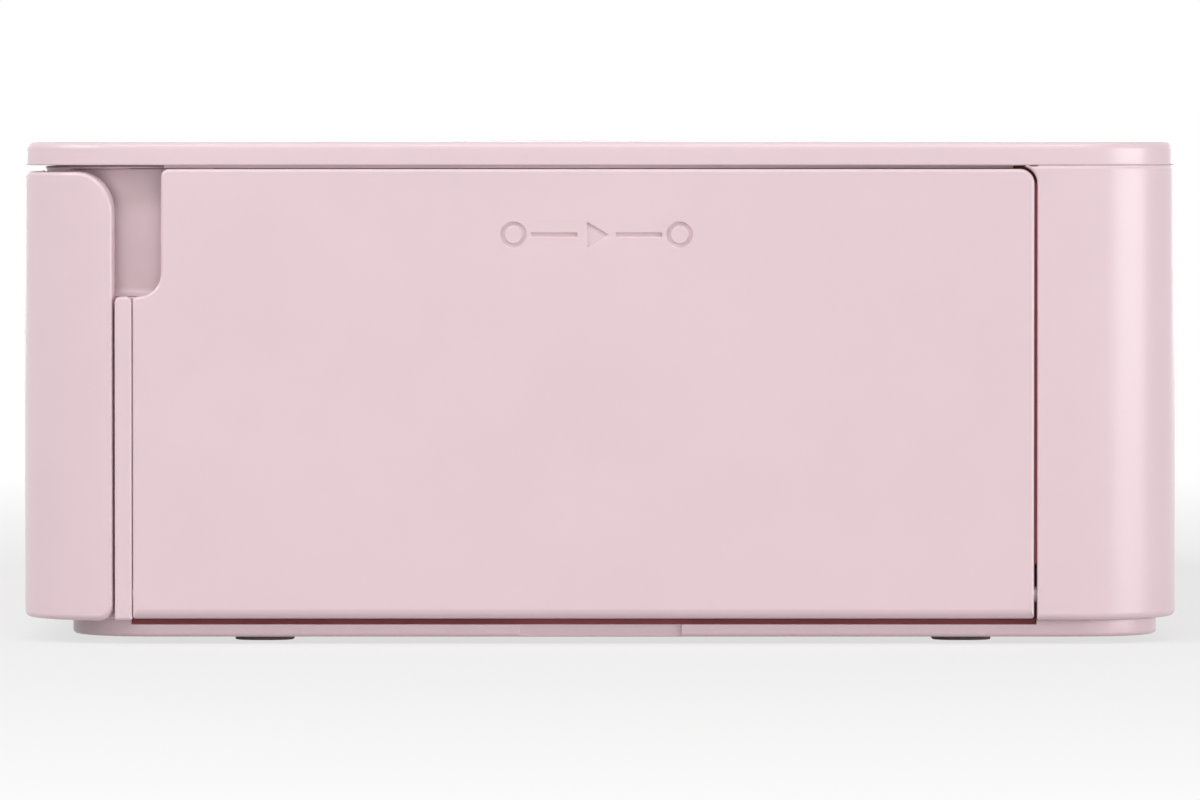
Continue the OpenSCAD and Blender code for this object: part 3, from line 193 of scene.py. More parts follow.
# Rear wall
GROOVE_H = 1.4
GROOVE_D = 0.8
GROOVE_EDGE = 0.2
GROOVE_X = 79.6
GROOVE_ZS = (22.3, 41.4)
SLOT_X = 54
SLOT_Z = (20.8, 27.2)
SLOT_R = 1.5
SLOT_EDGE = 0.5
JACK = (56, 12)
JACK_R = 3.8
VENTS = 14
VENT_X = -60
VENT_PITCH = 4
VENT_W = 1.6
VENT_Z = (29.2, 37.7)

# Edges stay sharp above SHARP_ANGLE degrees, and CAD nodes get a bevel BEVEL_W wide above BEVEL_ANGLE
SHARP_ANGLE = 38
BEVEL_ANGLE = 42
BEVEL_W = 0.12


def centre(node):
    lo, hi = span(node)
    return (lo.x + hi.x) / 2, (lo.y + hi.y) / 2


key_places = {name: centre(name) for name in ("power_key", "back_key", "menu_key", "edit_key")}
ring_c = centre("nav_ring")


# Outlines are lists of (x, y, corner radius), anticlockwise
def rounded(r, *points):
    return [(x, y, r) for x, y in points]


def box_outline(x0, x1, y0, y1, r):
    return rounded(r, (x0, y0), (x1, y0), (x1, y1), (x0, y1))


def disc(x, y, r):
    return box_outline(x - r, x + r, y - r, y + r, r - 0.001)


def loop(corners, rounds, grow, lift):
    """Points (x, y, z) round an outline whose edges have moved out by grow times their rounding,
    at a height of lift times the rounding."""
    lines, points = [], []
    for i, (x, y, _) in enumerate(corners):
        x1, y1, _ = corners[(i + 1) % len(corners)]
        length = math.hypot(x1 - x, y1 - y)
        out = ((y1 - y) / length, (x - x1) / length)
        lines.append((*out, out[0] * x + out[1] * y + grow * rounds[i]))
    for i, (_, _, radius) in enumerate(corners):
        a, b = lines[i - 1], lines[i]
        det = a[0] * b[1] - a[1] * b[0]
        px = (a[2] * b[1] - b[2] * a[1]) / det
        py = (a[0] * b[2] - b[0] * a[2]) / det
        turn = math.atan2(det, a[0] * b[0] + a[1] * b[1])
        side = math.copysign(1, turn)
        r = max(radius + side * grow * (rounds[i - 1] + rounds[i]) / 2, 0.01)
        tangent = r * math.tan(abs(turn) / 2)
        cx = px + a[1] * tangent - a[0] * r * side
        cy = py - a[0] * tangent - a[1] * r * side
        steps = 4 + round(4.4 * math.sqrt(radius * abs(turn)))
        for k in range(steps + 1):
            c, s = math.cos(turn * k / steps), math.sin(turn * k / steps)
            nx, ny = a[0] * c - a[1] * s, a[0] * s + a[1] * c
            here = rounds[i - 1] + (rounds[i] - rounds[i - 1]) * k / steps
            points.append((cx + nx * r * side, cy + ny * r * side, lift * abs(here)))
    return points


def skirt(bm, corners, rounds, low, z0, z1, side):
    """Wall round an outline with rounded edges, side 1 round a solid and -1 round a hole. A negative
    low rounding flares into the floor that it stands on. Returns the lowest and highest rings."""
    rows = []
    for j in range(BANDS + 1):
        t = math.radians(90 * j / BANDS)
        row = loop(corners, low, -side * (1 - math.sin(t)), 1 - math.cos(t))
        rows.append([(x, y, z0 + z) for x, y, z in row])
    for j in range(BANDS + 1):
        t = math.radians(90 * j / BANDS)
        row = loop(corners, rounds, -side * (1 - math.cos(t)), math.sin(t) - 1)
        rows.append([(x, y, z1 + z) for x, y, z in row])
    rings = [[bm.verts.new(p) for p in row] for row in rows]
    for a, b in zip(rings, rings[1:]):
        for k in range(len(a)):
            bm.faces.new((a[k - 1], a[k], b[k], b[k - 1]))
    return rings[0], rings[-1]


def fill(bm, loops):
    if len(loops) == 1:
        bm.faces.new(loops[0])
        return
    verts = [v for ring in loops for v in ring]
    for triangle in tessellate_polygon([[v.co for v in ring] for ring in loops]):
        bm.faces.new([verts[i] for i in triangle])


def per_edge(value, corners):
    return value if isinstance(value, list) else [value] * len(corners)


def plate(bm, corners, z0, z1, rounds=SOFT_EDGE, low=FINE_EDGE, holes=(), pockets=()):
    """Moulded plate with rounded edges, rounds on its z1 face and low on its z0 face, as one number or
    one for each edge. holes are (outline, rounding). pockets, in the z1 face, are (outline, depth,
    rounding, outlines of the islands in it), and may end with a list of fillets, one for each foot of
    its walls."""
    bottom, top = skirt(bm, corners, per_edge(rounds, corners), per_edge(low, corners), z0, z1, 1)
    bottoms, tops = [bottom], [top]
    for edge, r in holes:
        under, over = skirt(bm, edge, [r] * len(edge), [FINE_EDGE] * len(edge), z0, z1, -1)
        bottoms.append(under)
        tops.append(over)
    for edge, depth, r, islands, *feet in pockets:
        fillet = feet[0] if feet else [-r / 2] * len(edge)
        base, rim = skirt(bm, edge, [r] * len(edge), fillet, z1 - depth, z1, -1)
        tops.append(rim)
        floors = [base]
        for island in islands:
            foot, head = skirt(bm, island, [r] * len(island), [-r / 2] * len(island), z1 - depth, z1, 1)
            floors.append(foot)
            fill(bm, [head])
        fill(bm, floors)
    fill(bm, bottoms)
    fill(bm, tops)


def cut_lines(bm, places, axis):
    """Adds edges across the mesh at places along an axis, so that it can bend there."""
    normal = [0, 0, 0]
    normal[axis] = 1
    for place in places:
        point = [0, 0, 0]
        point[axis] = place
        geom = bm.verts[:] + bm.edges[:] + bm.faces[:]
        bmesh.ops.bisect_plane(bm, geom=geom, dist=1e-5, plane_co=point, plane_no=normal)


def place(bm, where):
    for v in bm.verts:
        v.co = Vector(where(*v.co))


# The case's outline in plan, measured in mm from the middle of the front, anticlockwise
ARC = math.pi / 2 * CORNER_R
STRAIGHTS = [HALF_W - CORNER_R, 2 * (HALF_D - CORNER_R), 2 * (HALF_W - CORNER_R), 2 * (HALF_D - CORNER_R)]
AROUND = 2 * sum(STRAIGHTS[1:3]) + 4 * ARC


def outline_point(s, out):
    """Plan point at s along the case's outline and out mm outside it."""
    s = s % AROUND
    x, y, heading = 0.0, -HALF_D, 0.0
    for length in [*STRAIGHTS, HALF_W - CORNER_R]:
        dx, dy = math.cos(heading), math.sin(heading)
        if s <= length:
            return x + dx * s + dy * out, y + dy * s - dx * out
        x, y, s = x + dx * length, y + dy * length, s - length
        cx, cy = x - dy * CORNER_R, y + dx * CORNER_R
        if s <= ARC:
            a = heading + s / CORNER_R
            r = CORNER_R + out
            return cx + math.sin(a) * r, cy - math.cos(a) * r
        heading += math.pi / 2
        x, y = cx + math.sin(heading) * CORNER_R, cy - math.cos(heading) * CORNER_R
        s -= ARC
    return x, y


def along_right(y):
    """Distance along the outline of the point at y on the right side or its front corner."""
    if y < CORNER_R - HALF_D:
        return STRAIGHTS[0] + ARC - CORNER_R * math.asin((CORNER_R - HALF_D - y) / CORNER_R)
    return STRAIGHTS[0] + ARC + y - (CORNER_R - HALF_D)


def corner_cuts(first, last, steps=18):
    """Distances along the outline where a bent wall needs an edge."""
    starts = [STRAIGHTS[0] - AROUND]  # corners of the turn before are listed too, for negative distances
    for length in [*STRAIGHTS[1:], 2 * STRAIGHTS[0], *STRAIGHTS[1:]]:
        starts.append(starts[-1] + ARC + length)
    cuts = [s + ARC * k / steps for s in starts for k in range(steps + 1)]
    return [s for s in cuts if first < s < last]


def bend(bm, first, last):
    """Wraps a flat wall (x along the outline, y up, z out) round the case."""
    cut_lines(bm, corner_cuts(first, last), 0)
    place(bm, lambda s, z, out: (*outline_point(s, out), z))


# Materials
def linear(code):
    """sRGB hex colour to linear RGBA."""
    parts = [int(code[i : i + 2], 16) / 255 for i in (1, 3, 5)]
    return [c / 12.92 if c <= 0.04045 else ((c + 0.055) / 1.055) ** 2.4 for c in parts] + [1]


def add(tree, kind, links=(), **values):
    """Adds a node. values set its properties or inputs, and links are (input, output) pairs."""
    made = tree.nodes.new(kind)
    for name, value in values.items():
        if hasattr(made, name):
            setattr(made, name, value)
        else:
            made.inputs[name.replace("_", " ")].default_value = value
    for socket, source in links:
        tree.links.new(made.inputs[socket], source)
    return made


def surface(name, color, dark, grain_mm, grain_depth, patch_mm=14, stretch=(1, 1, 1), **shader):
    """A surface whose colour drifts a little towards dark over patches, roughened by a fine grain. Most
    real grains here are under 0.1 mm, too fine to show, so they are drawn a few times coarser. stretch
    under 1 along an axis draws the grain out into lines along it."""
    material = bpy.data.materials.new(name)
    material.use_nodes = True
    tree = material.node_tree
    tree.nodes.clear()
    place_at = add(tree, "ShaderNodeTexCoord").outputs["Object"]
    drawn_out = add(tree, "ShaderNodeMapping", [("Vector", place_at)], Scale=stretch).outputs[0]
    patches = add(tree, "ShaderNodeTexNoise", [("Vector", place_at)], Scale=1 / (patch_mm * MM), Detail=2)
    tint = add(tree, "ShaderNodeValToRGB", [("Fac", patches.outputs[0])])
    for element, position, code in zip(tint.color_ramp.elements, (0.35, 0.65), (dark, color)):
        element.position = position
        element.color = linear(code)
    grain = add(tree, "ShaderNodeTexNoise", [("Vector", drawn_out)], Scale=1 / (grain_mm * MM), Detail=3)
    bump = add(tree, "ShaderNodeBump", [("Height", grain.outputs[0])], Strength=1, Distance=grain_depth * MM)
    links = [("Base Color", tint.outputs[0]), ("Normal", bump.outputs[0])]
    body = add(tree, "ShaderNodeBsdfPrincipled", links, **shader)
    add(tree, "ShaderNodeOutputMaterial", [("Surface", body.outputs[0])])
    return material


# Case, plinth and most keys: ABS, injection moulded in a finely spark-eroded tool, which leaves a satin sheen
pink_abs = surface("moulded_pink_abs", "#E2CAD0", "#E0C8CE", 0.35, 0.004, Roughness=0.3, IOR=1.53)
# Power and print keys: grey ABS from a tool that was eroded more, so that its sheen is duller
grey_abs = surface("moulded_grey_abs", "#8C8788", "#878283", 0.35, 0.004, Roughness=0.45, IOR=1.53)
# Signs: ink, pad printed in a thin even coat, matt beside the plastic
ink = surface("pad_printed_grey_ink", "#5C5557", "#554F50", 0.2, 0.002, Roughness=0.5, IOR=1.5)
# Bay frame, paper guides, cassette frame, rocker plate and power socket: ABS from a coarsely eroded tool,
# nearly matt, so that the inside stays in the shade
charcoal_abs = surface("moulded_charcoal_abs", "#3E3738", "#383132", 0.4, 0.012, Roughness=0.55, IOR=1.53)
# Eject lever and gear plate: grey ABS from as coarse a tool, a little brighter where light grazes it
slate_abs = surface("moulded_slate_abs", "#7E8084", "#787A7E", 0.4, 0.012, Roughness=0.5, IOR=1.53)
# Feet: soft rubber, pressed in a blasted mould, which leaves it matt and dusty
foot_rubber = surface("pressed_foot_rubber", "#B8ADA8", "#AEA39D", 0.3, 0.02, Roughness=0.85, IOR=1.5)
# Dust seal: thin moulded rubber whose dull dark rose is painted shade, the reddish dark of the door's joints
rose_gap_shade_rubber = surface("dark_rose_seal_painted_gap_shade", "#9E4C50", "#924448", 0.3, 0.01, Roughness=0.6, IOR=1.5)
# Rollers: black rubber, ground round, which leaves a fine dull tooth
roller_rubber = surface("ground_roller_rubber", "#26262A", "#202024", 0.15, 0.02, Roughness=0.7, IOR=1.5)
# Chassis, pins, screws, capstan, and the shells of motors and sockets: steel, zinc plated, a cool grey that
# mirrors in a blur
steel = surface("zinc_plated_steel", "#B9BBBE", "#A9ACB0", 0.6, 0.003, Metallic=1.0, Roughness=0.34)
# Screen: glass, polished and painted black behind, deep black with clear reflections
glass = surface("polished_screen_glass", "#0B0B0E", "#09090C", 2.0, 0.0002, Roughness=0.06, IOR=1.48)
# Display: film with a fine etched face, which greys its reflections
panel = surface("display_panel_film", "#16181C", "#121417", 0.3, 0.002, Roughness=0.3, IOR=1.5)
# Boards: green solder resist, screen printed over copper, glossy and mottled by the tracks under it
board = surface("solder_resist_board", "#1E5A3A", "#184B30", 1.2, 0.02, patch_mm=2, Roughness=0.35, IOR=1.5)
# Bushings and motor pinions: bronze powder, pressed and sintered, whose pores break up its yellow shine
bronze = surface("sintered_bronze", "#B08A4C", "#A07C42", 0.2, 0.01, Metallic=1.0, Roughness=0.42)
# Gears, cam and supply hub: acetal from a smooth tool, off-white and waxy
acetal = surface("moulded_white_acetal", "#E6E5DE", "#DFDED6", 0.5, 0.004, Roughness=0.38, IOR=1.48)
# Print head: ceramic with a fired glaze, hard and bright
ceramic = surface("glazed_head_ceramic", "#D8D6CC", "#CFCDC2", 0.5, 0.002, Roughness=0.12, IOR=1.6)
# Heat sink: aluminium, extruded, with the fine lines of the die along its length
aluminium = surface("extruded_aluminium", "#BFC1C4", "#B4B6B9", 0.4, 0.006, stretch=(0.05, 1, 1),
                    Metallic=1.0, Roughness=0.36)
# Ribbon and what is wound on its spools: dyed film, rolled thin, dark and shiny, with faint lines
film = surface("dyed_ribbon_film", "#4A2416", "#3C1C12", 0.8, 0.004, stretch=(0.1, 1, 1),
               Roughness=0.2, IOR=1.5)


# Pieces
def soften(mesh):
    mesh.shade_smooth()
    mesh.set_sharp_from_angle(angle=math.radians(SHARP_ANGLE))


def piece(name, bm, material, body, slot, *stands_for):
    """Turns a mesh in millimetres into a piece that rides on a body."""
    bmesh.ops.remove_doubles(bm, verts=bm.verts, dist=1e-5)
    bmesh.ops.recalc_face_normals(bm, faces=bm.faces)
    bmesh.ops.scale(bm, vec=(MM, MM, MM), verts=bm.verts)
    mesh = bpy.data.meshes.new(name)
    bm.to_mesh(mesh)
    bm.free()
    soften(mesh)
    mesh.materials.append(material)
    made = bpy.data.objects.new(name, mesh)
    bpy.context.scene.collection.objects.link(made)
    normals = made.modifiers.new("normals", "WEIGHTED_NORMAL")
    normals.keep_sharp = True
    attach(made, body)
    if stands_for:
        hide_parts(*stands_for)
    return made


# CAD nodes keep their shape and get a finish and a fine bevel on their sharp edges
FINISHES = {
    "pink_case": pink_abs, "grey_key": grey_abs, "foot_rubber": foot_rubber, "roller_rubber": roller_rubber,
    "zinc_steel": steel, "black_moulding": charcoal_abs, "grey_moulding": slate_abs, "screen_black": glass,
    "panel_frame": panel, "board_green": board, "bronze": bronze, "white_acetal": acetal,
    "head_ceramic": ceramic, "heatsink_aluminium": aluminium, "ribbon_film": film,
}


def finish_nodes():
    slots = {part["node"]: part["material_slot"] for part in frame["record"]["subparts"]}
    for name, node in frame["nodes"].items():
        mesh = node.data
        mesh.materials.clear()
        mesh.materials.append(FINISHES[slots[name]])
        for attribute in [a for a in mesh.attributes if a.name == "custom_normal"]:
            mesh.attributes.remove(attribute)
        mesh.shade_smooth()
        weld = node.modifiers.new("weld", "WELD")
        weld.merge_threshold = 1e-6
        bevel = node.modifiers.new("fine_edges", "BEVEL")
        bevel.width = BEVEL_W * MM
        bevel.segments = 2
        bevel.limit_method = "ANGLE"
        bevel.angle_limit = math.radians(BEVEL_ANGLE)
        bevel.use_clamp_overlap = False
        normals = node.modifiers.new("normals", "WEIGHTED_NORMAL")
        normals.keep_sharp = True


finish_nodes()



def middle(lo, hi):
    return (lo + hi) / 2


def bar(x0, x1, y0, y1, r=0.1):
    return box_outline(min(x0, x1), max(x0, x1), min(y0, y1), max(y0, y1), r)


def arc_band(x, y, inner, outer, first, last, steps=14, r=0.03):
    """Outline of part of a ring, between two angles in degrees."""
    turns = [math.radians(first + (last - first) * k / steps) for k in range(steps + 1)]
    points = [(x + outer * math.cos(a), y + outer * math.sin(a), r) for a in turns]
    return points + [(x + inner * math.cos(a), y + inner * math.sin(a), r) for a in reversed(turns)]


def sunk(outline, *islands):
    """A sign as a shallow pocket of a plate."""
    return outline, MARK_DEPTH, SIGN_EDGE, list(islands)


def rod(bm, axis, start, end, at, r, bore=0):
    """Round rod with softened ends along an axis, at a place on the other two axes in order."""
    holes = [(disc(0, 0, bore), FINE_EDGE)] if bore else ()
    part = bmesh.new()
    plate(part, disc(0, 0, r), start, end, FINE_EDGE, FINE_EDGE, holes)
    if axis == "x":
        place(part, lambda u, v, w: (w, at[0] + u, at[1] + v))
    elif axis == "y":
        place(part, lambda u, v, w: (at[0] + u, w, at[1] + v))
    else:
        place(part, lambda u, v, w: (at[0] + u, at[1] + v, w))
    join(bm, part)


def block(bm, x0, x1, y0, y1, z0, z1, r=FINE_EDGE):
    part = bmesh.new()
    plate(part, box_outline(x0, x1, y0, y1, r), z0, z1, r, r)
    join(bm, part)


def join(bm, part):
    mesh = bpy.data.meshes.new("part")
    part.to_mesh(mesh)
    part.free()
    bm.from_mesh(mesh)
    bpy.data.meshes.remove(mesh)


# Lid with its window and key holes
def lid():
    bm = bmesh.new()
    half_w, half_d = HALF_W - LID_INSET, HALF_D - LID_INSET
    edge = box_outline(-half_w, half_w, -half_d, half_d, CORNER_R)
    window = box_outline(glass_lo.x - GLASS_GAP, glass_hi.x + GLASS_GAP, glass_lo.y - GLASS_GAP,
                         glass_hi.y + GLASS_GAP, GLASS_R + GLASS_GAP)
    holes = [(window, WINDOW_EDGE), (disc(*ring_c, RING_R + KEY_GAP), HOLE_EDGE)]
    for x, y in key_places.values():
        holes.append((disc(x, y, KEY_R + KEY_GAP), HOLE_EDGE))
    holes.append((key_outline(KEY_GAP), HOLE_EDGE))
    plate(bm, edge, LID_Z, TOP_Z, LID_ROUND, LID_LOW_EDGE, holes)
    # Ledge that the ink door closes against. Its rear end draws back behind the door's round corner
    ledge = bmesh.new()
    y0, y1 = DOOR_Y0 + NOTCH_D + 0.3, DOOR_Y1 - 2.4
    inner = HALF_W - LEDGE_W
    face = rounded(TRIM_EDGE, (inner, y0), (HALF_W - 0.9, y0), (HALF_W - 0.8, 0),
                   (HALF_W - 1.8, y1), (inner, y1))
    plate(ledge, face, door_hi.z + 0.07, LID_Z + 0.3, TRIM_EDGE, TRIM_EDGE)
    join(bm, ledge)
    piece("lid", bm, pink_abs, "printer_case", "pink_case", "top_cover")


def key_outline(grow):
    """Print key, a bar with round ends, or its hole or flange when it grows."""
    lo, hi = span("print_key")
    inset = FLANGE - grow
    r = (hi.y - lo.y) / 2 - inset - 0.01
    return box_outline(lo.x + inset, hi.x - inset, lo.y + inset, hi.y - inset, r)


lid()


# Screen: a sheet of glass, painted black behind, set flush in the lid
def screen():
    bm = bmesh.new()
    edge = box_outline(glass_lo.x, glass_hi.x, glass_lo.y, glass_hi.y, GLASS_R)
    plate(bm, edge, glass_lo.z, glass_hi.z, GLASS_EDGE, TRIM_EDGE)
    piece("screen_cover_glass", bm, glass, "printer_case", "screen_black", "screen_glass")


screen()


# Keys, each on the flange that keeps it in the lid
def print_marks(name, body, marks, z1):
    """Lays the grey ink of the marks in their sunk shapes."""
    bm = bmesh.new()
    for outline, depth, _, islands in marks:
        part = bmesh.new()
        floor = z1 - depth
        holes = [(island, HAIR_EDGE) for island in islands]
        plate(part, outline, floor - PRINT_DEEP, floor + PRINT_T, HAIR_EDGE, HAIR_EDGE, holes)
        join(bm, part)
    piece(name, bm, ink, body, "grey_key")


def key(name, body, outline, flange, z0, z1, marks, material, slot):
    bm = bmesh.new()
    plate(bm, outline, z0, z1, KEY_ROUND, FINE_EDGE, pockets=marks)
    part = bmesh.new()
    plate(part, flange, z0 + 0.05, LID_Z - FLANGE_DROP, FINE_EDGE, FINE_EDGE)
    join(bm, part)
    piece(name, bm, material, body, slot, body)
    if marks:
        print_marks(name + "_print", body, marks, z1)


def keys():
    # Each sign is drawn in millimetres from the middle of its key
    x, y = key_places["power_key"]
    power = [sunk(arc_band(x, y, 1.25, 1.65, -235, 55)), sunk(bar(x - 0.2, x + 0.2, y + 0.6, y + 2.1))]
    x, y = key_places["back_key"]
    arrow = [(x - 1.8, y, 0.1), (x + 0.1, y - 1.6, 0.1), (x + 0.1, y - 0.35, 0.05), (x + 1.8, y - 0.35, 0.1),
             (x + 1.8, y + 0.35, 0.1), (x + 0.1, y + 0.35, 0.05), (x + 0.1, y + 1.6, 0.1)]
    x, y = key_places["menu_key"]
    lines = [sunk(bar(x - 1.6, x + 1.6, y + dy - 0.2, y + dy + 0.2)) for dy in (-1.1, 0, 1.1)]
    x, y = key_places["edit_key"]
    pencil = [(x - 1.7, y - 1.7, 0.05), (x - 0.8, y - 1.5, 0.05), (x + 1.7, y + 1.0, 0.2),
              (x + 1.0, y + 1.7, 0.2), (x - 1.5, y - 0.8, 0.05)]
    marks = {"power_key": power, "back_key": [sunk(arrow)], "menu_key": lines, "edit_key": [sunk(pencil)]}
    for name, (x, y) in key_places.items():
        lo, hi = span(name)
        look = (grey_abs, "grey_key") if name == "power_key" else (pink_abs, "pink_case")
        cap, flange = disc(x, y, KEY_R), disc(x, y, KEY_R + FLANGE)
        key(name + "_cap", name, cap, flange, lo.z, hi.z, marks[name], *look)
    lo, hi = span("print_key")
    x, y = centre("print_key")
    paper = box_outline(x - 1.5, x + 1.5, y - 0.9, y + 0.9, 0.1)
    sheet = [sunk(box_outline(x - 1.9, x + 1.9, y - 1.3, y + 1.3, 0.3), paper)]
    key("print_key_cap", "print_key", key_outline(0), key_outline(FLANGE), lo.z, hi.z, sheet,
        grey_abs, "grey_key")
    lo, hi = span("ok_key")
    key("ok_key_cap", "ok_key", disc(*ring_c, OK_R), disc(*ring_c, OK_R + OK_FLANGE), lo.z, hi.z, [],
        pink_abs, "pink_case")


def ring():
    """Four-way ring, with its arrows, the step under it and the two legs on the rocker plate."""
    bm = bmesh.new()
    lo, hi = span("nav_ring")
    x, y = ring_c
    arrows = []
    for turn in range(4):
        c, s = math.cos(turn * math.pi / 2), math.sin(turn * math.pi / 2)
        points = [(RING_R - 2.2, 0), (RING_R - 3.6, 1.1), (RING_R - 3.6, -1.1)]
        arrows.append(sunk(rounded(SIGN_EDGE, *[(x + u * c - v * s, y + u * s + v * c) for u, v in points])))
    inner = disc(x, y, OK_R + RING_GAP)
    under = LID_Z + RING_RISE
    plate(bm, disc(x, y, RING_R), under, hi.z, RING_ROUND, TRIM_EDGE, [(inner, KEY_ROUND)], arrows)
    part = bmesh.new()
    step = disc(x, y, RING_R - 0.6)
    plate(part, step, under - 0.05, LID_Z + RING_FOOT, HAIR_EDGE, HAIR_EDGE, [(inner, FINE_EDGE)])
    join(bm, part)
    for leg_y in (y - NAV_LEG, y + NAV_LEG):
        block(bm, x - NAV_LEG_HALF, x + NAV_LEG_HALF, leg_y - NAV_LEG_HALF, leg_y + NAV_LEG_HALF, lo.z,
              LID_Z + RING_FOOT)
    piece("four_way_ring", bm, pink_abs, "nav_ring", "pink_case", "nav_ring")
    print_marks("four_way_ring_print", "nav_ring", arrows, hi.z)


keys()
ring()


# Front cover: one wall bent round both front corners, drawn with its inner face up
def front_cover():
    bm = bmesh.new()
    end = along_right(cover_hi.y)
    bottom = cover_lo.z - COVER_DROP
    edge = [*rounded(COVER_FOOT_R, (-end, bottom), (end, bottom)),
            *rounded(WING_R, (end, cover_hi.z), (-end, cover_hi.z))]
    # Reliefs for the hinge ears
    reliefs = []
    half = EAR_W / 2
    z0, z1 = bottom + 0.5, COVER_PIVOT[1] + 4
    for x in (-PIVOT_X - EAR_DX, EAR_DX - PIVOT_X, PIVOT_X - EAR_DX, PIVOT_X + EAR_DX):
        relief = box_outline(x - half - EAR_GAP, x + half + EAR_GAP, z0, z1, SOFT_EDGE)
        reliefs.append((relief, RELIEF_D, TRIM_EDGE, []))
    # Outer edges: the foot is rounder than the two ends, and the top is between them
    plate(bm, edge, 0, COVER_T, 0.25, [0.7, 0.4, 0.45, 0.4], pockets=reliefs)
    place(bm, lambda u, v, w: (u, v, -w))
    bend(bm, -end, end)
    for x in (-PIVOT_X, PIVOT_X):
        rod(bm, "x", x - PIN_BOSS_HALF, x + PIN_BOSS_HALF, COVER_PIVOT, PIN_BOSS_R, PIN_R)
    inside = COVER_T - HALF_D
    for k in range(-COVER_RIBS, COVER_RIBS + 1):
        x = COVER_RIB_PITCH * k
        block(bm, x - 0.5, x + 0.5, inside - 0.3, inside + 0.3, bottom + 12, cover_hi.z - 6)
    piece("drop_down_cover", bm, pink_abs, "front_cover", "pink_case", "front_cover")


front_cover()


# Ink door, with a sunk mark in place of lettering: two spools joined by a ribbon, and an arrow
def cassette_mark():
    first, last = MARK_Y
    mid = middle(first, last)
    marks = []
    for y in (first + MARK_R, last - MARK_R):
        marks.append(sunk(disc(y, MARK_Z, MARK_R), disc(y, MARK_Z, MARK_R - MARK_LINE)))
    for y0, y1 in ((first + 2 * MARK_R + 0.5, mid - MARK_GAP), (mid + MARK_GAP, last - 2 * MARK_R - 0.5)):
        marks.append(sunk(bar(y0, y1, MARK_Z - MARK_LINE / 2, MARK_Z + MARK_LINE / 2)))
    arrow = [(mid - 1.1, MARK_Z - MARK_R), (mid + 1.4, MARK_Z), (mid - 1.1, MARK_Z + MARK_R)]
    marks.append(sunk(rounded(TRIM_EDGE, *arrow)))
    return marks


def ink_door():
    bm = bmesh.new()
    top, bottom = door_hi.z, door_lo.z - DOOR_DROP
    edge = [*rounded(0.35, (DOOR_Y0, bottom), (DOOR_Y1, bottom)), (DOOR_Y1, top, DOOR_CORNER),
            (DOOR_Y0 + NOTCH_D, top, 0.9), (DOOR_Y0 + NOTCH_D, NOTCH_Z, NOTCH_R), (DOOR_Y0, NOTCH_Z, 0.7)]
    rounds = [DOOR_LIP] + [DOOR_ROUND] * (len(edge) - 1)
    plate(bm, edge, -DOOR_T, 0, rounds, 0.2, pockets=cassette_mark())
    place(bm, lambda y, z, out: (HALF_W + out, y, z))
    # Ribs on the inner face, latch tongue, and pins in their bosses
    inner = HALF_W - DOOR_T
    y0, y1, z0, z1 = RIB_Y0, DOOR_Y1 - 1.2, door_lo.z + 6, top - 2
    window = box_outline(y0 + 1, y1 - 1, z0 + 1, z1 - 1, 0.5)
    frame_rib = bmesh.new()
    around = box_outline(y0, y1, z0, z1, 1.5)
    plate(frame_rib, around, -0.2, RIB_H, FINE_EDGE, 0.05, [(window, FINE_EDGE)])
    place(frame_rib, lambda y, z, depth: (inner - depth, y, z))
    join(bm, frame_rib)
    for y in RIB_YS:
        block(bm, inner - RIB_H, inner + 0.2, y, y + RIB_T, z0 + 0.5, z1 - 0.5)
    block(bm, LATCH_X, inner + 0.2, *LATCH_Y, LATCH_Z, LATCH_Z + LATCH_T)
    for y0, y1 in ((DOOR_Y0, DOOR_Y0 + DOOR_BOSS_W), (DOOR_Y1 - DOOR_BOSS_W, DOOR_Y1)):
        rod(bm, "y", y0, y1, DOOR_PIVOT, DOOR_BOSS_R)
    for y0, y1 in ((DOOR_Y0 - 1.4, DOOR_Y0 + 1), (DOOR_Y1 - 1, door_hi.y)):
        rod(bm, "y", y0, y1, DOOR_PIVOT, DOOR_PIN_R)
    piece("ink_door_panel", bm, pink_abs, "ink_door", "pink_case", "ink_door")


ink_door()


def screw_posts(bm, x, y):
    for side in (-1, 1):
        rod(bm, "z", FLOOR_Z, FLOOR_Z + POST_H, (side * x, y), POST_R, POST_BORE)


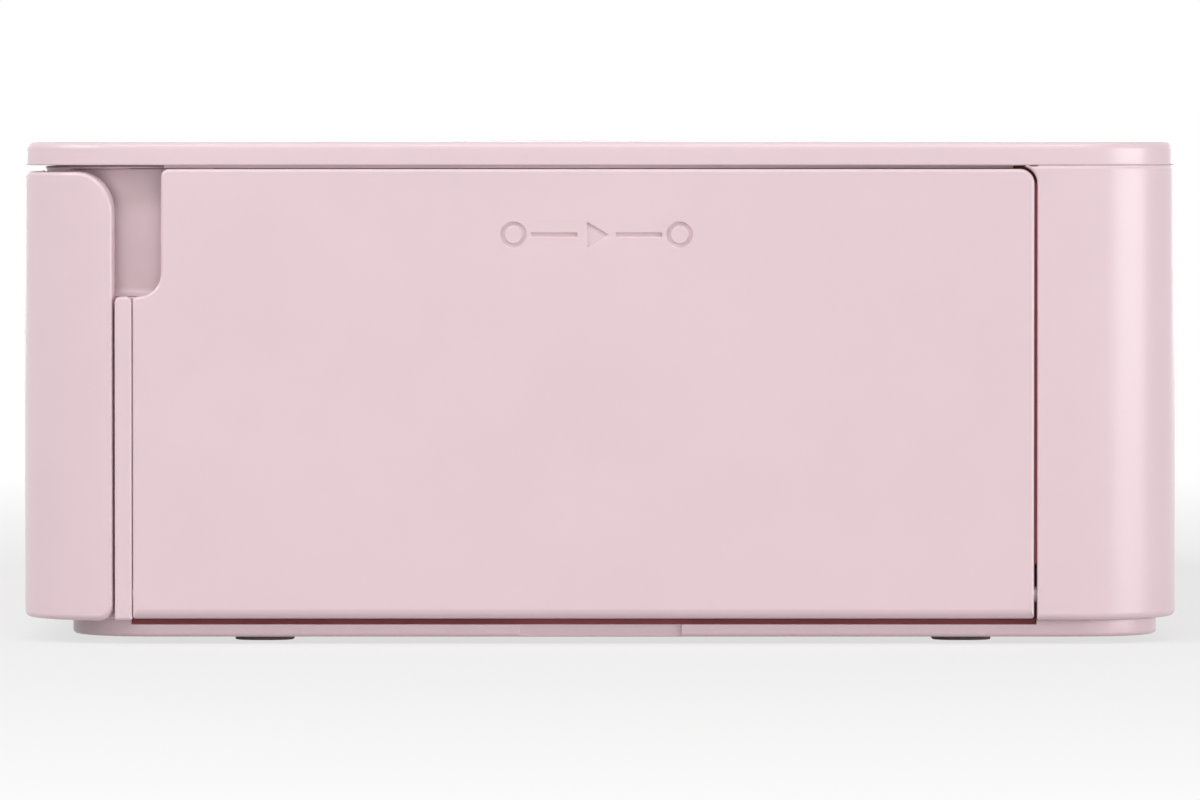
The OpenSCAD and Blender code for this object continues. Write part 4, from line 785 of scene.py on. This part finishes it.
# Front wall: the wall behind the front cover with its slots, the finger pocket and the pillar by the door
def front_wall():
    bm = bmesh.new()
    end = along_right(STEP_Y)
    top = LID_Z - SEAM_H
    # Room for the cover's hinge, in front of the sill
    sill, low = along_right(SILL_Y), COVER_PIVOT[1] + HINGE_ROOM
    left = [(-end, FLOOR_Z), (-sill, FLOOR_Z), (-sill, low), (-MOUTH_X, low)]
    right = [(MOUTH_X, low), (sill, low), (sill, FLOOR_Z), (end, FLOOR_Z)]
    # The wall stops beside the finger pocket, which has walls of its own
    s0, s1 = along_right(POCKET_Y[0]), along_right(POCKET_Y[1])
    beside = [(end, NOTCH_Z - 0.6), (s0 - 0.6, NOTCH_Z - 0.6), (s0 - 0.6, top), (-end, top)]
    mouth = rounded(MOUTH_R, (-MOUTH_X, MOUTH_Z), (MOUTH_X, MOUTH_Z))
    edge = [*rounded(SOFT_EDGE, *left), *mouth, *rounded(SOFT_EDGE, *right, *beside)]
    card_z, usb_z = [SOCKET_Z + z for z in CARD_ZS], [SOCKET_Z + z for z in USB_ZS]
    sockets = [(box_outline(CARD_X - CARD_HALF, CARD_X + CARD_HALF, *card_z, 0.4), SOFT_EDGE),
               (box_outline(USB_X - USB_HALF, USB_X + USB_HALF, *usb_z, USB_R), SOFT_EDGE)]
    plate(bm, edge, -PANEL_INSET - WALL, -PANEL_INSET, 0.25, FINE_EDGE, sockets)
    # Finger pocket. Its floor sweeps out in a deep fillet below, and in smaller ones at its ends
    part = bmesh.new()
    pocket = [*rounded(POCKET_R, (s0, NOTCH_Z), (s1, NOTCH_Z)),
              *rounded(0.5, (s1, top - 0.35), (s0, top - 0.35))]
    deep = POCKET_D - PANEL_INSET
    around = box_outline(s0 - 1.5, s1 + 1.9, NOTCH_Z - 3.5, top, 0.5)
    fillets = [-deep, -2.0, -0.2, -2.0]
    plate(part, around, -POCKET_D - 2, HAIR_EDGE - PANEL_INSET, 0.2, 0.2,
          pockets=[(pocket, deep + HAIR_EDGE, SOFT_EDGE, [], fillets)])
    join(bm, part)
    # Pillar between the cover and the door
    part = bmesh.new()
    s0, s1 = along_right(STEP_Y - 0.08), along_right(DOOR_Y0 - 0.05)
    pillar = [*rounded(0.2, (s0, FLOOR_Z), (s1, FLOOR_Z)), *rounded(0.75, (s1, NOTCH_Z), (s0, NOTCH_Z))]
    plate(part, pillar, -PANEL_INSET - WALL, 0, 0.35, 0.1)
    join(bm, part)
    bend(bm, -end, s1)
    # Screw posts, and ledges under the card board
    screw_posts(bm, *FRONT_POST)
    back = PANEL_INSET + WALL - HALF_D
    for x in (USB_X - 6, CARD_X + 6):
        block(bm, x, x + 6, back - 1, back + 5, SOCKET_Z - 2, SOCKET_Z)
    piece("front_wall_and_pocket", bm, pink_abs, "printer_case", "pink_case", "front_panel")


front_wall()


# Rear shell: the left wall, the rear wall and the strip behind the ink door, bent in one piece
def rear_shell():
    bm = bmesh.new()
    first = along_right(DOOR_Y1 + DOOR_GAP)
    last = AROUND - along_right(shell_lo.y)
    mid = AROUND / 2
    rim = LID_Z - SEAM_H
    # The front upper corner follows the door's round corner
    turn_c = along_right(DOOR_Y1 - DOOR_CORNER), door_hi.z - DOOR_CORNER
    r = DOOR_CORNER + DOOR_GAP
    turns = [math.radians(8 * k) for k in range(9, 0, -1)]
    corner = [(turn_c[0] + r * math.cos(a), turn_c[1] + r * math.sin(a)) for a in turns]
    tip = (corner[0][0] - 0.1, rim)
    edge = [*rounded(SOFT_EDGE, (first, FLOOR_Z), (last, FLOOR_Z)), (last, rim, TRIM_EDGE),
            *rounded(HAIR_EDGE, tip, *corner)]
    # Paper slot, power socket and vents. Along the rear wall, x runs against the outline
    holes = [(box_outline(mid - SLOT_X, mid + SLOT_X, *SLOT_Z, SLOT_R), SLOT_EDGE),
             (disc(mid - JACK[0], JACK[1], JACK_R), HOLE_EDGE)]
    for k in range(VENTS):
        s = mid - VENT_X - VENT_PITCH * k
        holes.append((box_outline(s - VENT_W, s, *VENT_Z, VENT_W / 2 - 0.01), SOFT_EDGE))
    # Two grooves along the rear wall, the lower one broken by the paper slot
    grooves = []
    for z in GROOVE_ZS:
        parts = [(-GROOVE_X, GROOVE_X)]
        if z < SLOT_Z[1]:
            parts = [(-GROOVE_X, -SLOT_X - 2.5), (SLOT_X + 2.5, GROOVE_X)]
        for s0, s1 in parts:
            groove = box_outline(mid + s0, mid + s1, z - GROOVE_H / 2, z + GROOVE_H / 2, 0.5)
            grooves.append((groove, GROOVE_D, GROOVE_EDGE, []))
    rounds = [SHELL_ROUND, 0.35] + [SOFT_EDGE] * (len(edge) - 2)
    plate(bm, edge, -WALL, 0, rounds, FINE_EDGE, holes, grooves)
    # Set-back rim that leaves a shadow line under the lid
    strip = bmesh.new()
    plate(strip, box_outline(first, last, rim - RIM_H, LID_Z, 0.2), -WALL, -SEAM_W, 0.05, 0.05)
    join(bm, strip)
    # Flange that sits on the plinth
    flange = bmesh.new()
    foot = box_outline(first, last, FLOOR_Z, FLOOR_Z + 1.6, 0.2)
    plate(flange, foot, -WALL - 2.6, 0.2 - WALL, TRIM_EDGE, TRIM_EDGE)
    join(bm, flange)
    bend(bm, first, last)
    screw_posts(bm, *REAR_POST)
    # Boss for the door's hinge pin
    block(bm, HALF_W - 4.3, HALF_W - WALL + 0.2, DOOR_Y1 + DOOR_GAP, DOOR_Y1 + DOOR_BOSS_W,
          FLOOR_Z, DOOR_PIVOT[1] + 3)
    piece("rear_shell_wall", bm, pink_abs, "printer_case", "pink_case", "rear_shell")


rear_shell()


# Dust seal the ink door closes against, and a strip beside the front cover: its dark rose is painted gap
# shade
def door_gap_shade_seal():
    bm = bmesh.new()
    hinge_top = DOOR_PIVOT[1] + 4
    wall_in = HALF_W - WALL
    # Front, foot, rear and top of the door's opening, and behind the door's hinge
    block(bm, HALF_W - 4.6, wall_in, DOOR_Y0 - 0.3, DOOR_Y0 + 0.8, hinge_top, NOTCH_Z - 2)
    block(bm, HALF_W - 3.7, HALF_W - 2.9, DOOR_Y0 - 0.2, DOOR_Y1 + 0.3, SILL_Z - 0.05, SILL_Z + 0.72, 0.08)
    block(bm, HALF_W - 4, wall_in, DOOR_Y1 - 0.6, DOOR_Y1 + 1, hinge_top, LID_Z - 1)
    block(bm, HALF_W - 4, wall_in - 0.1, DOOR_Y1 - 2.6, DOOR_Y1 + 1, LID_Z - 2.2, LID_Z - 0.02)
    block(bm, HALF_W - 4.6, HALF_W - 3.5, DOOR_Y1 + 0.1, DOOR_Y1 + 1, FLOOR_Z, hinge_top + 0.2)
    # Between the cover and the pillar, and a lip in the gap behind the door
    block(bm, HALF_W - 3.5, HALF_W - 2.25, STEP_Y - 0.6, STEP_Y + 0.1, FLOOR_Z + 3, NOTCH_Z - 0.3)
    block(bm, wall_in - 0.1, HALF_W - 0.75, DOOR_Y1 + 0.06, DOOR_Y1 + 0.4, hinge_top - 0.5,
          door_hi.z - 1.6, 0.05)
    piece("door_gap_shade_seal", bm, rose_gap_shade_rubber, "printer_case", "foot_rubber")


door_gap_shade_seal()


# Camera: level with the lid, square to the right side, as the photograph was taken
SENSOR_MM = 36
LENS_MM = 288.6
CAMERA_AT = (1191, 0, 59)
CAMERA_DOWN = 1.613


def camera():
    data = bpy.data.cameras.new("camera")
    data.sensor_width = SENSOR_MM
    data.lens = LENS_MM
    data.clip_start = 0.05
    data.clip_end = 50
    made = bpy.data.objects.new("camera", data)
    made.location = [c * MM for c in CAMERA_AT]
    made.rotation_euler = (math.radians(90 - CAMERA_DOWN), 0, math.radians(90))
    bpy.context.scene.collection.objects.link(made)
    bpy.context.scene.camera = made


# Softboxes: where they stand and what they face, their width and height, all in metres, and their watts
BOXES = {
    "key_softbox": ((0.7, 0, 1.0), (0, 0, 0.03), (0.9, 0.24), 4.2),
    "fill_softbox": ((1.5, 0.1, 0.44), (0, 0, 0.03), (2.6, 0.84), 6.6),
    "rear_softbox": ((0.5, 1.1, 0.14), (0, 0.05, 0.03), (0.8, 0.26), 5.8),
    "front_softbox": ((0.5, -1.0, 0.8), (0, 0, 0.03), (0.9, 0.7), 9.2),
    "left_softbox": ((-1.4, 0.1, 0.18), (0, 0, 0.03), (1.6, 0.32), 7),
    "top_softbox": ((-0.3, 0, 1.1), (0, 0, 0.05), (0.8, 0.8), 1),
}
ROOM_LIGHT = 0.16
# The floor's own white share under the object and far from it, and the radii in metres between them
FLOOR_WHITE = (0.7, 1.0)
FLOOR_FADE = (0.12, 0.45)
FLOOR_HALF = 6


def soft_light(name, where, target, size, power):
    data = bpy.data.lights.new(name, "AREA")
    data.shape = "RECTANGLE"
    data.size, data.size_y = size
    data.energy = power
    made = bpy.data.objects.new(name, data)
    made.location = where
    made.rotation_euler = (Vector(target) - Vector(where)).to_track_quat("-Z", "Y").to_euler()
    bpy.context.scene.collection.objects.link(made)


def seen_rays(tree):
    """1 for rays from the camera, and for those that metal, gloss or glass send on to what lies behind."""
    path = add(tree, "ShaderNodeLightPath").outputs
    seen = path["Is Camera Ray"]
    for ray in ("Is Glossy Ray", "Is Transmission Ray"):
        seen = add(tree, "ShaderNodeMath", [(0, seen), (1, path[ray])], operation="MAXIMUM").outputs[0]
    return seen


def studio():
    world = bpy.data.worlds.new("studio")
    bpy.context.scene.world = world
    world.use_nodes = True
    tree = world.node_tree
    tree.nodes.clear()
    seen = seen_rays(tree)
    room = add(tree, "ShaderNodeBackground", Color=linear("#FFFFFF"), Strength=ROOM_LIGHT)
    white = add(tree, "ShaderNodeBackground", Color=linear("#FFFFFF"), Strength=1.0)
    mixed = add(tree, "ShaderNodeMixShader", [(0, seen), (1, room.outputs[0]), (2, white.outputs[0])])
    add(tree, "ShaderNodeOutputWorld", [("Surface", mixed.outputs[0])])
    # Pale paper floor, seen nearly white, that keeps the object's shadow
    paper = bpy.data.materials.new("pale_paper_floor")
    paper.use_nodes = True
    tree = paper.node_tree
    tree.nodes.clear()
    lit = add(tree, "ShaderNodeBsdfDiffuse", Color=linear("#CCCACA"))
    glow = add(tree, "ShaderNodeEmission", Color=linear("#FFFFFF"), Strength=1.0)
    # The paper turns fully white away from the object, so that no horizon shows
    where = add(tree, "ShaderNodeTexCoord").outputs["Object"]
    reach = add(tree, "ShaderNodeVectorMath", [(0, where)], operation="LENGTH").outputs["Value"]
    fade = add(tree, "ShaderNodeMapRange", [("Value", reach)], From_Min=FLOOR_FADE[0], From_Max=FLOOR_FADE[1],
               To_Min=FLOOR_WHITE[0], To_Max=FLOOR_WHITE[1])
    share = add(tree, "ShaderNodeMath", [(0, seen_rays(tree)), (1, fade.outputs[0])], operation="MULTIPLY")
    links = [(0, share.outputs[0]), (1, lit.outputs[0]), (2, glow.outputs[0])]
    mixed = add(tree, "ShaderNodeMixShader", links)
    add(tree, "ShaderNodeOutputMaterial", [("Surface", mixed.outputs[0])])
    mesh = bpy.data.meshes.new("floor")
    far = FLOOR_HALF
    mesh.from_pydata([(-far, -far, 0), (far, -far, 0), (far, far, 0), (-far, far, 0)], [], [(0, 1, 2, 3)])
    mesh.materials.append(paper)
    floor = bpy.data.objects.new("floor", mesh)
    bpy.context.scene.collection.objects.link(floor)
    for name, box in BOXES.items():
        soft_light(name, *box)


camera()
studio()
bpy.context.scene.view_settings.view_transform = "Standard"
